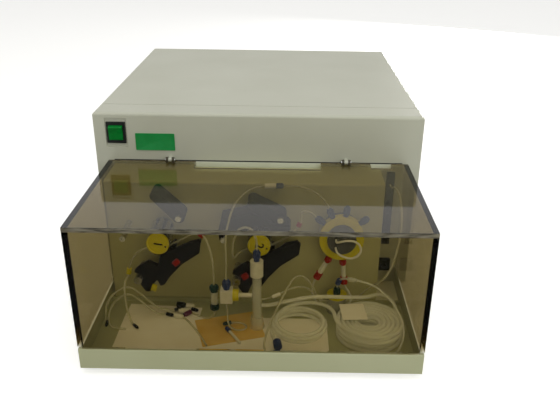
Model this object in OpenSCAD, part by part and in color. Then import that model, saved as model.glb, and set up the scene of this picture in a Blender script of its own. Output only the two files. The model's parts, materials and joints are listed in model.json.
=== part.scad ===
// Flow-injection bench unit: cabinet, hooded bay, two roller pumps, valve and separator.
// Millimetres. Origin under the middle of the unit, front toward -Y, up +Z.

/* [Cabinet] */
// Width of the cabinet
cabinet_w = 400; // [390:1:440]
// Depth of the cabinet behind its front face
cabinet_d = 390; // [360:1:440]
// Height of the cabinet above its feet
cabinet_h = 230; // [215:1:260]
// Thickness of the cover and the rear panel
sheet_t = 1.5; // [1:0.1:2]
// Depth of the front frame
frame_d = 37; // [30:1:50]
// Wall of the front frame
frame_wall = 3; // [2:0.5:4]
// Rounding of the cabinet's long edges
edge_r = 4; // [2:0.5:6]
// Depth of the recess around the rear panel
rear_in = 20; // [16:1:30]
// Width of the seam between the front frame and the cover
seam_gap = 0.8; // [0.4:0.1:1.5]

/* [Feet] */
// Height of the rubber feet
foot_h = 8; // [5:1:15]
// Radius of the rubber feet
foot_r = 11; // [8:1:14]

/* [Bay] */
// Width of the bay over the hood's sides
bay_w = 370; // [360:1:386]
// Depth of the bay in front of the cabinet
bay_d = 190; // [180:1:215]
// Height of the tray's lip above the pan
tray_h = 25; // [18:1:30]
// Wall of the tray
tray_wall = 4; // [2.5:0.5:5]
// How far the pump housing stands out of the front frame
step_d = 57; // [50:1:62]
// Width of the open channel right of the pump housing
channel_w = 30; // [24:1:34]
// Wall of the pump housing
house_wall = 2.5; // [1.5:0.5:4]

/* [Hood] */
// Height of the hood's top face above the pan
hood_h = 170; // [168:1:185]
// Thickness of the acrylic
acrylic_t = 5; // [4:0.5:6]
// Width of the wide notch in the hood's rear edge
notch_w = 154; // [120:1:170]
// Depth of the wide notch
notch_d = 22; // [12:1:30]
// Width of the small notch
side_notch_w = 26; // [18:1:30]
// Depth of the small notch
side_notch_d = 15; // [10:1:22]
// Distance of each hinge from the middle
hinge_x = 108; // [98:1:118]

/* [Pumps] */
// Axis of the first pump from the middle
pump_1_x = -111; // [-114:1:-106]
// Distance between the two pump axes
pump_gap = 116; // [112:1:118]
// Height of the pump axes above the pan
pump_z = 105; // [102:1:108]
// Rollers of each pump
roller_count = 8; // [6:1:8]
// Radius of one roller
roller_r = 3; // [2.5:0.1:3.2]
// Radius over the rollers
rotor_r = 14; // [13.5:0.1:14.2]
// Radius of the rotor shaft
shaft_r = 4; // [3:0.5:4.5]
// Radius of the yellow cap
cap_r = 13; // [11:0.5:14]

/* [Valve] */
// Axis of the valve from the middle
valve_x = 101; // [100:1:104]
// Height of the valve axis above the pan
valve_z = 103; // [102:1:105]
// Outer radius of the yellow ring
ring_r = 26; // [24:0.5:27]
// Radius of the turning front plate
plate_r = 17; // [14:0.5:19]

/* [Separator] */
// Height of the separator's glass column
column_h = 78; // [70:1:80]
// Outer radius of the glass column
column_r = 5.5; // [5:0.1:6]

/* [Tubing] */
// Diameter of the waste hose
hose_d = 4.5; // [3.8:0.1:4.6]
// Diameter of the pump tubes
tube_d = 2.6; // [2:0.1:2.7]
// Diameter of the thin lines
line_d = 2.4; // [1.8:0.1:2.6]

/* [Clearances] */
// Gap between pieces that are assembled loosely
fit_gap = 0.3; // [0.2:0.05:0.5]
// Radial gap of a running fit
run_gap = 0.05; // [0.02:0.01:0.09]

/* [Hidden] */
$fn = 48;
over = 1;
pan_t = 2;
floor_t = 2;
liner_t = 0.6;
z0 = foot_h;
deck_z = z0 + pan_t;
floor_z = deck_z + floor_t;
bed_z = floor_z + liner_t;
top_z = z0 + cabinet_h;
half_w = cabinet_w / 2;
half_bay = bay_w / 2;
face_y = (bay_d - cabinet_d) / 2;
front_y = face_y - bay_d;
rear_y = face_y + cabinet_d;
back_y = rear_y - rear_in;
cover_y = face_y + frame_d + seam_gap;
inner_w = half_w - sheet_t - fit_gap;
panel_y = face_y - step_d;
hood_z = z0 + hood_h;
hood_under = hood_z - acrylic_t;
hood_rear = face_y - 1;
ledge_z = hood_under - 3;
house_l = -(half_bay - acrylic_t - 2);
house_r = half_bay - acrylic_t - channel_w;
pump_2_x = pump_1_x + pump_gap;
axis_z = z0 + pump_z;
ring_z = z0 + valve_z;
channel_x = (house_r + half_bay - acrylic_t) / 2;

// Switch
switch_x = -half_w + 27;
switch_z = top_z - 25;
rocker_r = 9.2;
rocker_w = 16.6;
rocker_y = face_y + 0.5;
rocker_tilt = 8;

// Cover screws: distance along Y and height on each side
screw_r = 1.75;
screw_at = [
    [cover_y + 22, top_z - 16],
    [cover_y + 40, deck_z + 7],
    [back_y - 40, deck_z + 7]
];

// Hinge
pin_r = 1.5;
hinge_y = face_y - 6;
hinge_z = hood_z + 3;

// Pump stack, as distances in front of the housing
rotor_back = 4;
flange_t = 3;
roller_l = 28;
rotor_front = rotor_back + flange_t + roller_l + flange_t;
roller_c = rotor_r - roller_r;
pin_roller_r = 1.2;
mag_back = 7;
mag_front = 33;
track_r = rotor_r + tube_d + 0.8;
hook_at = [-27, -50];
hook_r = 5;
stop_at = [-41, 4];
pivot_at = [24, 26];
rod_r = 3.5;
lever_l = 36;
lever_1_a = 135;
lever_2_a = 152;
tube_track = rotor_r + tube_d / 2 + 0.6;

// Fan
fan_x = half_w - 104;
fan_z = z0 + 128;
fan_size = 80;
fan_t = 25;
fan_pin = 2;

// Inner pieces, from the cabinet's sides
inlet_x = -half_w + 80;
inlet_z = z0 + 60;
core_x = -half_w + 80;
core_y = back_y - 110;
board_x = half_w - 140;
board_y = face_y + 190;
board_w = 170;
board_d = 120;
barb_x = half_w - 50;
barb_z = z0 + 50;

// Separator stands on the liner
column_x = 3;
column_y = panel_y - 56;
column_base = bed_z;
column_top = column_base + column_h;

// Coil of the waste hose
coil_x = half_bay - tray_wall - 48;
coil_y = panel_y - 67;
coil_n = 5;
coil_rows = 4;
coil_step = hose_d + 0.6;
coil_rise = hose_d + 1.1;
coil_r = 38;
coil_low = floor_z + hose_d / 2 + 0.1;

// Loose loops that the hose makes after the coil
loose_x = coil_x - 81;
loose_y = coil_y + 2;
loose_r = 30;
loose_turns = 3.5;
loose_rise = hose_d + 0.7;
loose_low = bed_z + hose_d / 2 + 0.1;

// Mixing block on the tray floor
mix_x = coil_x - 34;
mix_y = panel_y - 17;
mix_r = 12;
mix_h = 20;

// Inline connector and tee
join_x = pump_1_x + 64;
join_y = panel_y - 51;
join_top = floor_z + 54;
join_low = floor_z + 20;
tee_x = column_x - 35;
tee_y = column_y;
tee_z = floor_z + 44;

// Flutes of each finger nut
nut_flutes = 9;

// Valve ports, as angles from +X toward +Z
blue_a = [142, 115, 82, 39];
red_a = [243, 276];
link_l = 16;
port_y = panel_y - 16;

// Routes: each point is x, distance in front of the housing, height
pump_1_route = [
    [-141, 61, bed_z + 1.5],
    [-145, 57, bed_z + 2.5],
    [-148, 54, bed_z + 9],
    [-151, 51, bed_z + 21],
    [-153, 46, bed_z + 33],
    [-155, 37, bed_z + 41],
    [-155.5, 28, bed_z + 44]
];
pump_arc = [-100, -90, -80, -70, -60];
pump_left = [
    [-43, 21, -55],
    [-40, 20, -41],
    [-35, 20, -30],
    [-27, 20, -21],
    [-15, 20, -16.6],
    [-8, 20, -15.8]
];
pump_right = [
    [14.5, 20, -9.7],
    [24, 20, -4.4],
    [34, 20, 1],
    [44, 23, 5.6],
    [52, 31, 5],
    [58, 40, -2],
    [62, 47, -12]
];
pump_1_end = [
    [join_x, 51, join_top + 10],
    [join_x, 51, join_top + 0.1]
];
pump_2_start = [
    [column_x, 56, column_top + 25.1],
    [column_x, 56, column_top + 33],
    [column_x - 2, 55.5, column_top + 42],
    [column_x - 9, 54, column_top + 48],
    [column_x - 18, 52, column_top + 46],
    [column_x - 25, 49, column_top + 36],
    [column_x - 28, 45, column_top + 21]
];
pump_2_left = [
    [-29, 38, -18],
    [-24, 26, -17.6],
    [-15, 20, -16.6],
    [-8, 20, -15.8]
];
pump_2_right = [
    [14.5, 20, -9.7],
    [24, 20, -4.4],
    [34, 20, 1],
    [43, 19, 8],
    [48, 17, 17]
];

function nut_tip(a, r) = [valve_x + r * cos(a), 16, ring_z + r * sin(a)];

pump_2_end = [
    nut_tip(blue_a[0], ring_r + 28) + [-4, 0, -3],
    nut_tip(blue_a[0], ring_r + 22),
    nut_tip(blue_a[0], ring_r + 13.1)
];
transfer_route = [
    nut_tip(blue_a[1], ring_r + 13.1),
    nut_tip(blue_a[1], ring_r + 20),
    [valve_x - 28, 12, ring_z + 50],
    [valve_x - 44, 7.5, ring_z + 56.5],
    [valve_x - 60, 6, ring_z + 58.5],
    [valve_x - 78, 6, ring_z + 58.5],
    [valve_x - 95, 6.2, ring_z + 57],
    [valve_x - 108, 7, ring_z + 53],
    [valve_x - 117, 12, ring_z + 48],
    [valve_x - 123, 21, ring_z + 43.5],
    [valve_x - 127, 32, ring_z + 38],
    [valve_x - 130, 42, ring_z + 29],
    [tee_x, 50, ring_z + 15],
    [tee_x, 55, ring_z - 3],
    [tee_x, 56, tee_z + 32],
    [tee_x, 56, tee_z + 20.1]
];
gas_route = [
    [channel_x, 3.1 - step_d, ledge_z - 22],
    [channel_x, 12 - step_d, ledge_z - 22],
    [channel_x + 2, 28 - step_d, ledge_z - 16],
    [channel_x + 4, -8, ledge_z - 16],
    [channel_x + 4, 12, ledge_z - 24],
    [channel_x + 3, 27, ledge_z - 42],
    [channel_x - 1, 36, floor_z + 95],
    [channel_x - 6, 39, floor_z + 75],
    [channel_x - 14, 38, floor_z + 58],
    [mix_x + 44, 22, floor_z + 40],
    [mix_x + 33, 13, floor_z + 24],
    [mix_x + 25, 14, floor_z + 15],
    [mix_x + mix_r + 6, 17, floor_z + 12],
    [mix_x + mix_r + 0.1, 17, floor_z + 12]
];
drain_route = [
    [join_x, 51, join_low - 0.1],
    [join_x - 0.5, 51, join_low - 6],
    [join_x - 4, 49.5, join_low - 11.5],
    [join_x - 10, 46, join_low - 15.5],
    [join_x - 18, 40, floor_z + 2.4],
    [join_x - 28, 33, floor_z + 1.4],
    [join_x - 36, 28, floor_z + 1.6]
];
spare_route = [
    [-175, 58, floor_z + line_d / 2 + 0.2],
    [-177.5, 49, floor_z + 5],
    [-178, 45, floor_z + 13],
    [-175, 41, bed_z + 22],
    [-166, 36, bed_z + 32],
    [-152, 33.5, bed_z + 37],
    [-138, 37.5, bed_z + 32],
    [-126, 38.5, bed_z + 21],
    [-116, 36.5, bed_z + 11],
    [-107, 32, bed_z + 5.5],
    [-98, 27, floor_z + line_d / 2 + 0.2]
];
small_loop = [
    [tee_x, 56, tee_z - 8.1],
    [tee_x, 56, tee_z - 16],
    [tee_x + 0.5, 57.5, tee_z - 24],
    [tee_x + 2.5, 60.5, bed_z + 5],
    [tee_x + 8, 64.5, bed_z + 1.7],
    [tee_x + 16, 66, bed_z + 1.5],
    [tee_x + 21.5, 63, bed_z + 1.5],
    [tee_x + 22, 57, bed_z + 1.5],
    [tee_x + 17, 52.5, bed_z + 1.5],
    [tee_x + 9, 51, bed_z + 1.5],
    [tee_x + 2, 52.5, bed_z + 1.5]
];
loop_route = [
    [-7, 26.1, 3],
    [-7, 32, 3],
    [-4, 37, 6],
    [4, 39.5, 9],
    [14, 40, 8],
    [20, 40, 1],
    [19, 40, -8],
    [11, 40, -13],
    [2, 39, -12],
    [-5, 36.5, -9],
    [-7, 32, -7],
    [-7, 26.1, -7]
];
hose_route = [
    [column_x + column_r + 0.1, 56, bed_z + 30],
    [column_x + column_r + 9, 56, bed_z + 30.5],
    [column_x + 27, 55, bed_z + 33],
    [column_x + 43, 53, bed_z + 36],
    [column_x + 60, 50, bed_z + 38],
    [column_x + 78, 48, bed_z + 38],
    [column_x + 96, 45, bed_z + 36],
    [column_x + 113, 39, bed_z + 32],
    [column_x + 130, 30, bed_z + 27],
    [coil_x + 15, 18, bed_z + 23],
    [coil_x + 26, 12, bed_z + 18],
    [coil_x + 34, 13, bed_z + 13],
    [coil_x + coil_r, 22, bed_z + 8],
    [coil_x + coil_r, 35, bed_z + 4],
    [coil_x + coil_r, 49, coil_low],
    [coil_x + coil_r, 67 - hose_d, coil_low]
];

// Layers wind in and out by turns; the height climbs in the half turn about each reversal
function coil_u(t) = t / coil_n;
function coil_in(t) = abs(1 - abs(1 - (coil_u(t) % 2)));
function coil_climb(t, k) = min(1, max(0, (t - k * coil_n) * 2 + 0.5));
function coil_point(t) = [
    coil_x + (coil_r - coil_step * coil_n * coil_in(t)) * cos(-360 * t),
    coil_y + (coil_r - coil_step * coil_n * coil_in(t)) * sin(-360 * t),
    coil_low + coil_rise * (coil_climb(t, 1) + coil_climb(t, 2) + coil_climb(t, 3))
];
coil_turns = coil_n * coil_rows;
coil_top = coil_low + coil_rise * (coil_rows - 1);
function coil_exit(s) = [
    coil_x + (coil_r + 3 * s) * cos(-360 * s),
    coil_y + (coil_r + 3 * s) * sin(-360 * s),
    coil_top + (coil_rise + 0.3) * min(1, 3 * s)
];

// Loops drift from the coil's side to their own middle and sink to the liner
function eased(s) = let (q = min(1, max(0, s))) q * q * (3 - 2 * q);
first_x = coil_exit(0.5).x - loose_r;
loose_drop = coil_exit(0.5).z - loose_low - loose_rise * loose_turns;
function loose_point(s) = let (r = loose_r + 1.5 * sin(223 * s)) [
    first_x + (loose_x - first_x) * eased(s) + r * cos(360 * s),
    coil_y + (loose_y - coil_y) * eased(s) + r * sin(360 * s),
    loose_low + loose_rise * (loose_turns - s) + loose_drop * (1 - eased(2 * s))
];
loose_end = loose_point(loose_turns);
coil_points = concat(
    [for (i = [0 : 24 * coil_turns]) coil_point(i / 24)],
    [for (i = [1 : 12]) coil_exit(i / 24)],
    [for (i = [1 : 24 * loose_turns]) loose_point(i / 24)]
);
coil_path = concat(
    [coil_points[0] + [0, hose_d, 0]],
    coil_points,
    [loose_end + [0, -7, 0.3], loose_end + [-0.5, -14, 1.2]]
);
coil_gap = min([
    for (i = [0 : 6 : len(coil_path) - 20])
        for (j = [i + 16 : 1 : len(coil_path) - 1])
            norm(coil_path[i] - coil_path[j])
]) - hose_d;
echo(coil_gap = coil_gap);

function unit(v) = v / norm(v);
function bay(p) = [for (q = p) [q.x, panel_y - q.y, q.z]];
function about(p, x, z) = [for (q = p) [q.x + x, q.y, q.z + z]];
function arc_points() = [for (a = pump_arc) [tube_track * cos(a), 20, tube_track * sin(a)]];

pump_1_path = bay(concat(
    pump_1_route,
    about(concat(pump_left, arc_points(), pump_right), pump_1_x, axis_z),
    pump_1_end
));
pump_2_path = bay(concat(
    pump_2_start,
    about(concat(pump_2_left, arc_points(), pump_2_right), pump_2_x, axis_z),
    pump_2_end
));
hose_path = bay(hose_route);

beige = [0.70, 0.71, 0.64];
smoked = [0.42, 0.34, 0.18, 0.45];
black = [0.05, 0.05, 0.06];
steel = [0.66, 0.67, 0.68];
yellow = [0.86, 0.72, 0.12];
white = [0.90, 0.89, 0.85];
clear = [0.85, 0.88, 0.88, 0.5];

// Shapes shared by the pieces

module block(a, b) {
    translate(a) cube(b - a);
}

module along_y(y0, y1) {
    translate([0, y1, 0]) rotate([90, 0, 0]) linear_extrude(y1 - y0) children();
}

module along_x(x0, x1) {
    translate([x0, 0, 0]) rotate([90, 0, 90]) linear_extrude(x1 - x0) children();
}

module rod_y(x, z, r, y0, y1) {
    translate([x, y1, z]) rotate([90, 0, 0]) cylinder(r = r, h = y1 - y0);
}

module rod_x(y, z, r, x0, x1) {
    translate([x0, y, z]) rotate([0, 90, 0]) cylinder(r = r, h = x1 - x0);
}

module rod_z(x, y, r, za, zb) {
    translate([x, y, za]) cylinder(r = r, h = zb - za);
}

module area(a, b) {
    translate(a) square(b - a);
}

module top_round(a, b, r) {
    area(a, [b.x, b.y - r]);
    area([a.x + r, a.y], [b.x - r, b.y]);
    translate([a.x + r, b.y - r]) circle(r);
    translate([b.x - r, b.y - r]) circle(r);
}

module front_round(a, b, r) {
    area(a, [b.x, b.y - r]);
    area([a.x + r, a.y], b);
    translate([a.x + r, b.y - r]) circle(r);
}

function tangent(p, i) = unit(p[min(i + 1, len(p) - 1)] - p[max(i - 1, 0)]);
function side(u, t) = unit(u - (u * t) * t);
function sides_of(p, u, i, done) =
    i == len(p) ? done : sides_of(p, side(u, tangent(p, i)), i + 1,
        concat(done, [side(u, tangent(p, i))]));
function first_side(t) = side(abs(t.z) < 0.9 ? [0, 0, 1] : [1, 0, 0], t);

module swept(p, r, n) {
    u = sides_of(p, first_side(tangent(p, 0)), 0, []);
    m = len(p);
    points = [
        for (i = [0 : m - 1])
            let (t = tangent(p, i), v = cross(t, u[i]))
                for (k = [0 : n - 1])
                    p[i] + r * (cos(360 * k / n) * u[i] + sin(360 * k / n) * v)
    ];
    walls = [
        for (i = [0 : m - 2])
            for (k = [0 : n - 1])
                let (a = i * n + k, b = i * n + (k + 1) % n)
                    for (f = [[a, a + n, b], [b, a + n, b + n]]) f
    ];
    ends = concat(
        [for (k = [1 : n - 2]) [0, k, k + 1]],
        [for (k = [1 : n - 2]) [(m - 1) * n, (m - 1) * n + k + 1, (m - 1) * n + k]]
    );
    polyhedron(points = points, faces = concat(walls, ends), convexity = 6);
}

// Cabinet

module chassis_pan() {
    color(steel) difference() {
        union() {
            block([-inner_w, face_y, z0], [inner_w, rear_y - 1, deck_z]);
            block(
                [-(half_bay - tray_wall - fit_gap), front_y + tray_wall + fit_gap, z0],
                [half_bay - tray_wall - fit_gap, face_y + 1, deck_z]
            );
            for (s = [-1, 1]) {
                block(
                    [s > 0 ? inner_w - sheet_t : -inner_w, cover_y + 4, z0],
                    [s > 0 ? inner_w : -inner_w + sheet_t, back_y - 4, deck_z + 14]
                );
            }
        }
        for (s = [-1, 1]) {
            for (i = [1, 2]) {
                rod_x(screw_at[i].x, screw_at[i].y, screw_r + run_gap,
                    s * half_w - 8, s * half_w + 8);
            }
        }
    }
}

module front_frame() {
    color(beige) difference() {
        union() {
            difference() {
                intersection() {
                    along_y(face_y, face_y + frame_d)
                        top_round([-half_w, deck_z], [half_w, top_z], edge_r);
                    along_x(-half_w - over, half_w + over)
                        front_round([face_y, 0], [face_y + frame_d + over, top_z], edge_r);
                }
                block(
                    [-half_w + frame_wall, face_y + frame_wall, deck_z - over],
                    [half_w - frame_wall, face_y + frame_d + over, top_z - frame_wall]
                );
            }
            for (s = [-1, 1]) {
                block(
                    [s > 0 ? inner_w - 2 : -inner_w, face_y + frame_d - 8, top_z - 28],
                    [s > 0 ? inner_w : -inner_w + 2, cover_y + 32, top_z - 8]
                );
            }
        }
        block([house_l + 8, face_y - over, deck_z + 12], [house_r - 8, face_y + 10, ledge_z - 12]);
        block(
            [switch_x - 13, face_y - over, switch_z - 18],
            [switch_x + 13, face_y + 1.5, switch_z + 18]
        );
        block(
            [switch_x - 10.3, face_y - over, switch_z - 11.8],
            [switch_x + 10.3, face_y + 10, switch_z + 11.8]
        );
        block(
            [channel_x - 3.5, face_y - over, ledge_z - 100],
            [channel_x + 3.5, face_y + 10, ledge_z - 8]
        );
        rod_y(channel_x, z0 + 30, 4, face_y - over, face_y + 10);
        for (s = [-1, 1]) {
            rod_x(screw_at[0].x, screw_at[0].y, screw_r + run_gap, s * half_w - 8, s * half_w + 8);
        }
    }
}

module top_cover() {
    color(beige) difference() {
        along_y(cover_y, rear_y) difference() {
            top_round([-half_w, z0], [half_w, top_z], edge_r);
            top_round([-half_w + sheet_t, z0 - over], [half_w - sheet_t, top_z - sheet_t],
                max(0.5, edge_r - sheet_t));
        }
        for (s = [-1, 1]) {
            for (p = screw_at) {
                rod_x(p.x, p.y, screw_r + fit_gap, s * half_w - 8, s * half_w + 8);
            }
        }
    }
}

module rear_panel() {
    color(beige) difference() {
        along_y(back_y, back_y + sheet_t)
            top_round([-inner_w, deck_z], [inner_w, top_z - sheet_t - fit_gap],
                max(0.5, edge_r - sheet_t));
        for (i = [-3 : 3]) {
            block(
                [fan_x - sqrt(pow(35, 2) - pow(9 * i, 2)), back_y - over, fan_z + 9 * i - 2.7],
                [fan_x + sqrt(pow(35, 2) - pow(9 * i, 2)), back_y + 5, fan_z + 9 * i + 2.7]
            );
        }
        block(
            [inlet_x - 14 - fit_gap, back_y - over, inlet_z - 10 - fit_gap],
            [inlet_x + 14 + fit_gap, back_y + 5, inlet_z + 10 + fit_gap]
        );
        rod_y(barb_x, barb_z, 6.2, back_y - over, back_y + 5);
    }
}

module rubber_feet() {
    color(black) for (s = [-1, 1]) {
        for (y = [front_y + 42, rear_y - 40]) {
            translate([s * (half_bay - 40), y, 0])
                cylinder(r1 = foot_r - 1.5, r2 = foot_r, h = foot_h);
        }
    }
}

module cover_screws() {
    color(steel) for (s = [-1, 1]) {
        for (p = screw_at) {
            translate([s * half_w, p.x, p.y]) rotate([0, s * 90, 0]) {
                cylinder(r = 4, h = 2);
                translate([0, 0, -6]) cylinder(r = screw_r, h = 7);
            }
        }
    }
}

// Power

module switch_housing() {
    color(black) difference() {
        union() {
            block(
                [switch_x - 11.5, face_y - 1, switch_z - 13.2],
                [switch_x + 11.5, face_y + 1.5, switch_z + 13.2]
            );
            block(
                [switch_x - 10, face_y, switch_z - 11.5],
                [switch_x + 10, face_y + 18, switch_z + 11.5]
            );
        }
        block(
            [switch_x - rocker_w / 2 - fit_gap, face_y - 5, switch_z - rocker_r - fit_gap],
            [switch_x + rocker_w / 2 + fit_gap, face_y + 14, switch_z + rocker_r + fit_gap]
        );
        rod_x(rocker_y, switch_z, 1.2 + run_gap, switch_x - 9.7, switch_x + 9.7);
    }
}

module switch_rocker() {
    color([0.05, 0.42, 0.16]) translate([0, rocker_y, switch_z]) rotate([rocker_tilt, 0, 0]) {
        along_x(switch_x - rocker_w / 2, switch_x + rocker_w / 2) intersection() {
            circle(rocker_r);
            polygon([[-5, 10], [-3.8, 0], [-5, -10], [6, -10], [6, 10]]);
        }
        rod_x(0, 0, 1.2, switch_x - 9.5, switch_x + 9.5);
    }
}

module mains_inlet() {
    color(black) translate([inlet_x, back_y + sheet_t, inlet_z]) difference() {
        union() {
            block([-18, 0, -12.5], [18, 3, 12.5]);
            block([-14, -20, -10], [14, 1, 10]);
        }
        difference() {
            block([-12, -15, -8], [12, 4, 8]);
            for (x = [-7, 0, 7]) {
                block([x - 1, -16, x == 0 ? 0 : -4], [x + 1, -5, x == 0 ? 4 : 0]);
            }
        }
    }
}

module transformer() {
    color([0.30, 0.24, 0.16]) translate([core_x, core_y, deck_z]) {
        block([-38, -26, 0], [38, 26, 14]);
        block([-38, -18, 0], [38, 18, 64]);
        block([-24, -30, 14], [24, 30, 50]);
    }
}

module control_board() {
    color([0.07, 0.28, 0.16]) translate([board_x, board_y, deck_z]) {
        block([-board_w / 2, -board_d / 2, 10], [board_w / 2, board_d / 2, 11.6]);
        for (x = [-board_w / 2 + 7, board_w / 2 - 7]) {
            for (y = [-board_d / 2 + 7, board_d / 2 - 7]) {
                rod_z(x, y, 3, 0, 10.5);
            }
        }
        block([-50, -20, 11], [-14, 12, 16]);
        block([0, -38, 11], [30, -20, 16]);
        block([40, 10, 11], [72, 30, 24]);
        rod_z(-66, 34, 9, 11, 34);
        rod_z(-42, 38, 9, 11, 34);
    }
}

module fan_frame() {
    color(black) {
        difference() {
            block(
                [fan_x - fan_size / 2, back_y - fan_t, fan_z - fan_size / 2],
                [fan_x + fan_size / 2, back_y, fan_z + fan_size / 2]
            );
            rod_y(fan_x, fan_z, 37.5, back_y - fan_t - over, back_y + over);
        }
        rod_y(fan_x, fan_z, 16, back_y - 4, back_y);
        for (a = [30, 150, 270]) {
            translate([fan_x, 0, fan_z]) rotate([0, -a, 0])
                block([10, back_y - 3.5, -2], [38.5, back_y, 2]);
        }
        rod_y(fan_x, fan_z, fan_pin, back_y - 20, back_y - 3);
    }
}

module fan_rotor() {
    color([0.12, 0.12, 0.13]) translate([fan_x, back_y - 14, fan_z]) difference() {
        union() {
            rod_y(0, 0, 17, -9, 9);
            for (a = [0 : 51.4286 : 359]) {
                rotate([0, a, 0]) translate([14, 0, 0]) rotate([38, 0, 0])
                    block([0, -8, -1], [21.5, 8, 1]);
            }
        }
        rod_y(0, 0, fan_pin + run_gap, -7, 10);
    }
}

// Bay

module drip_tray() {
    color(beige) difference() {
        intersection() {
            block([-half_bay, front_y, z0], [half_bay, hood_rear, z0 + tray_h]);
            along_x(-half_bay - over, half_bay + over)
                front_round([front_y, 0], [face_y, z0 + tray_h], 1.5);
        }
        block(
            [-half_bay + tray_wall, panel_y - 1, z0 - over],
            [half_bay - tray_wall, face_y, z0 + tray_h + over]
        );
        block(
            [-half_bay + tray_wall, front_y + tray_wall, floor_z],
            [half_bay - tray_wall, panel_y - 4, z0 + tray_h + over]
        );
        block(
            [-half_bay + tray_wall, panel_y - 5, floor_z + 5],
            [half_bay - tray_wall, panel_y, z0 + tray_h + over]
        );
        block(
            [-half_bay + tray_wall, front_y + tray_wall, z0 - over],
            [half_bay - tray_wall, panel_y, deck_z]
        );
    }
}

module pump_housing() {
    color(beige) difference() {
        intersection() {
            block([house_l, panel_y, deck_z], [house_r, face_y, ledge_z]);
            along_x(house_l - over, house_r + over)
                front_round([panel_y, 0], [face_y + over, ledge_z], 3);
        }
        block(
            [house_l + house_wall, panel_y + house_wall, deck_z - over],
            [house_r - house_wall, face_y + over, ledge_z - house_wall]
        );
        for (x = [pump_1_x, pump_2_x]) {
            rod_y(x, axis_z, shaft_r + 3 + fit_gap, panel_y - over, panel_y + 10);
        }
        rod_y(valve_x, ring_z, 5, panel_y - over, panel_y + 10);
    }
}

module tray_liner() {
    color(white) block([-158, front_y + tray_wall + 4, floor_z], [coil_x - 47, panel_y - 38, bed_z]);
}

module slot_grommet() {
    color(black) difference() {
        union() {
            block(
                [channel_x - 3.4, face_y - 1, ledge_z - 99.8],
                [channel_x + 3.4, face_y + 4, ledge_z - 8.2]
            );
            block(
                [channel_x - 5, face_y - 3, ledge_z - 102],
                [channel_x + 5, face_y, ledge_z - 6]
            );
        }
        for (i = [0 : 3]) {
            block(
                [channel_x - 1.2, face_y - 4, ledge_z - 94 + 16 * i],
                [channel_x + 1.2, face_y - 1.5, ledge_z - 82 + 16 * i]
            );
        }
    }
}

module gas_outlet() {
    color(black) {
        block([channel_x - 8, face_y - 6, z0 + 22], [channel_x + 8, face_y, z0 + 38]);
        rod_y(channel_x, z0 + 30, 3, face_y - 14, face_y - 5);
        rod_y(channel_x, z0 + 30, 4 - run_gap, face_y - 1, face_y + 12);
    }
}

module gas_inlet() {
    color([0.75, 0.62, 0.30]) {
        rod_y(barb_x, barb_z, 9, back_y + sheet_t, back_y + sheet_t + 4);
        rod_y(barb_x, barb_z, 3, back_y + sheet_t, back_y + sheet_t + 15);
        rod_y(barb_x, barb_z, 6, back_y - 14, back_y + sheet_t + 1);
    }
}

// Hood

module hood_top() {
    color(smoked) difference() {
        block([-half_bay, front_y, hood_under], [half_bay, hood_rear, hood_z]);
        block(
            [-notch_w / 2, hood_rear - notch_d, hood_under - over],
            [notch_w / 2, hood_rear + over, hood_z + over]
        );
        block(
            [house_r + 1 - side_notch_w / 2, hood_rear - side_notch_d, hood_under - over],
            [house_r + 1 + side_notch_w / 2, hood_rear + over, hood_z + over]
        );
    }
}

module hood_front() {
    color(smoked) block(
        [-half_bay + acrylic_t, front_y, z0 + tray_h + 0.4],
        [half_bay - acrylic_t, front_y + acrylic_t, hood_under]
    );
}

module hood_side(s) {
    block(
        [s > 0 ? half_bay - acrylic_t : -half_bay, front_y, z0 + tray_h + 3],
        [s > 0 ? half_bay : -half_bay + acrylic_t, hood_rear, hood_under]
    );
}

module hood_left() {
    color(smoked) hood_side(-1);
}

module hood_right() {
    color(smoked) hood_side(1);
}

module hinge_lugs() {
    color(black) for (s = [-1, 1]) {
        for (d = [-1, 1]) {
            along_x(s * hinge_x + d * 3.8 - 1.5, s * hinge_x + d * 3.8 + 1.5) difference() {
                union() {
                    area([hinge_y - 3, hood_z], [hinge_y + 3, hinge_z]);
                    translate([hinge_y, hinge_z]) circle(3);
                }
                translate([hinge_y, hinge_z]) circle(pin_r + run_gap);
            }
        }
    }
}

module hinge_brackets() {
    color(black) for (s = [-1, 1]) {
        along_x(s * hinge_x - 2, s * hinge_x + 2) difference() {
            union() {
                area([hinge_y, hinge_z - 2.4], [face_y, hinge_z + 2.5]);
                translate([hinge_y, hinge_z]) circle(2.5);
            }
            translate([hinge_y, hinge_z]) circle(pin_r);
        }
    }
}

module hinge_pins() {
    color(steel) for (s = [-1, 1]) {
        rod_x(hinge_y, hinge_z, pin_r, s * hinge_x - 6, s * hinge_x + 6);
    }
}

// Pumps

module pump_motors() {
    color([0.22, 0.22, 0.23]) for (x = [pump_1_x, pump_2_x]) {
        difference() {
            union() {
                block(
                    [x - 20, panel_y + house_wall, axis_z - 20],
                    [x + 20, panel_y + house_wall + 28, axis_z + 20]
                );
                rod_y(x, axis_z, 18, panel_y + house_wall + 26, panel_y + house_wall + 76);
                rod_y(x, axis_z, shaft_r + 3, panel_y - 2, panel_y + house_wall + 1);
            }
            rod_y(x, axis_z, shaft_r + run_gap, panel_y - 3, panel_y + house_wall + 20);
        }
    }
}

module rotor(x) {
    difference() {
        union() {
            rod_y(x, axis_z, shaft_r, panel_y - rotor_front + 1, panel_y + house_wall + 18);
            rod_y(x, axis_z, rotor_r - 1.2, panel_y - rotor_back - flange_t, panel_y - rotor_back);
            rod_y(x, axis_z, rotor_r - 1.2, panel_y - rotor_front, panel_y - rotor_front + flange_t);
        }
        for (i = [0 : roller_count - 1]) {
            rod_y(
                x + roller_c * cos(360 * i / roller_count),
                axis_z + roller_c * sin(360 * i / roller_count),
                pin_roller_r + run_gap,
                panel_y - rotor_front + flange_t - 2.5,
                panel_y - rotor_back - flange_t + 2.5
            );
        }
    }
}

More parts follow.
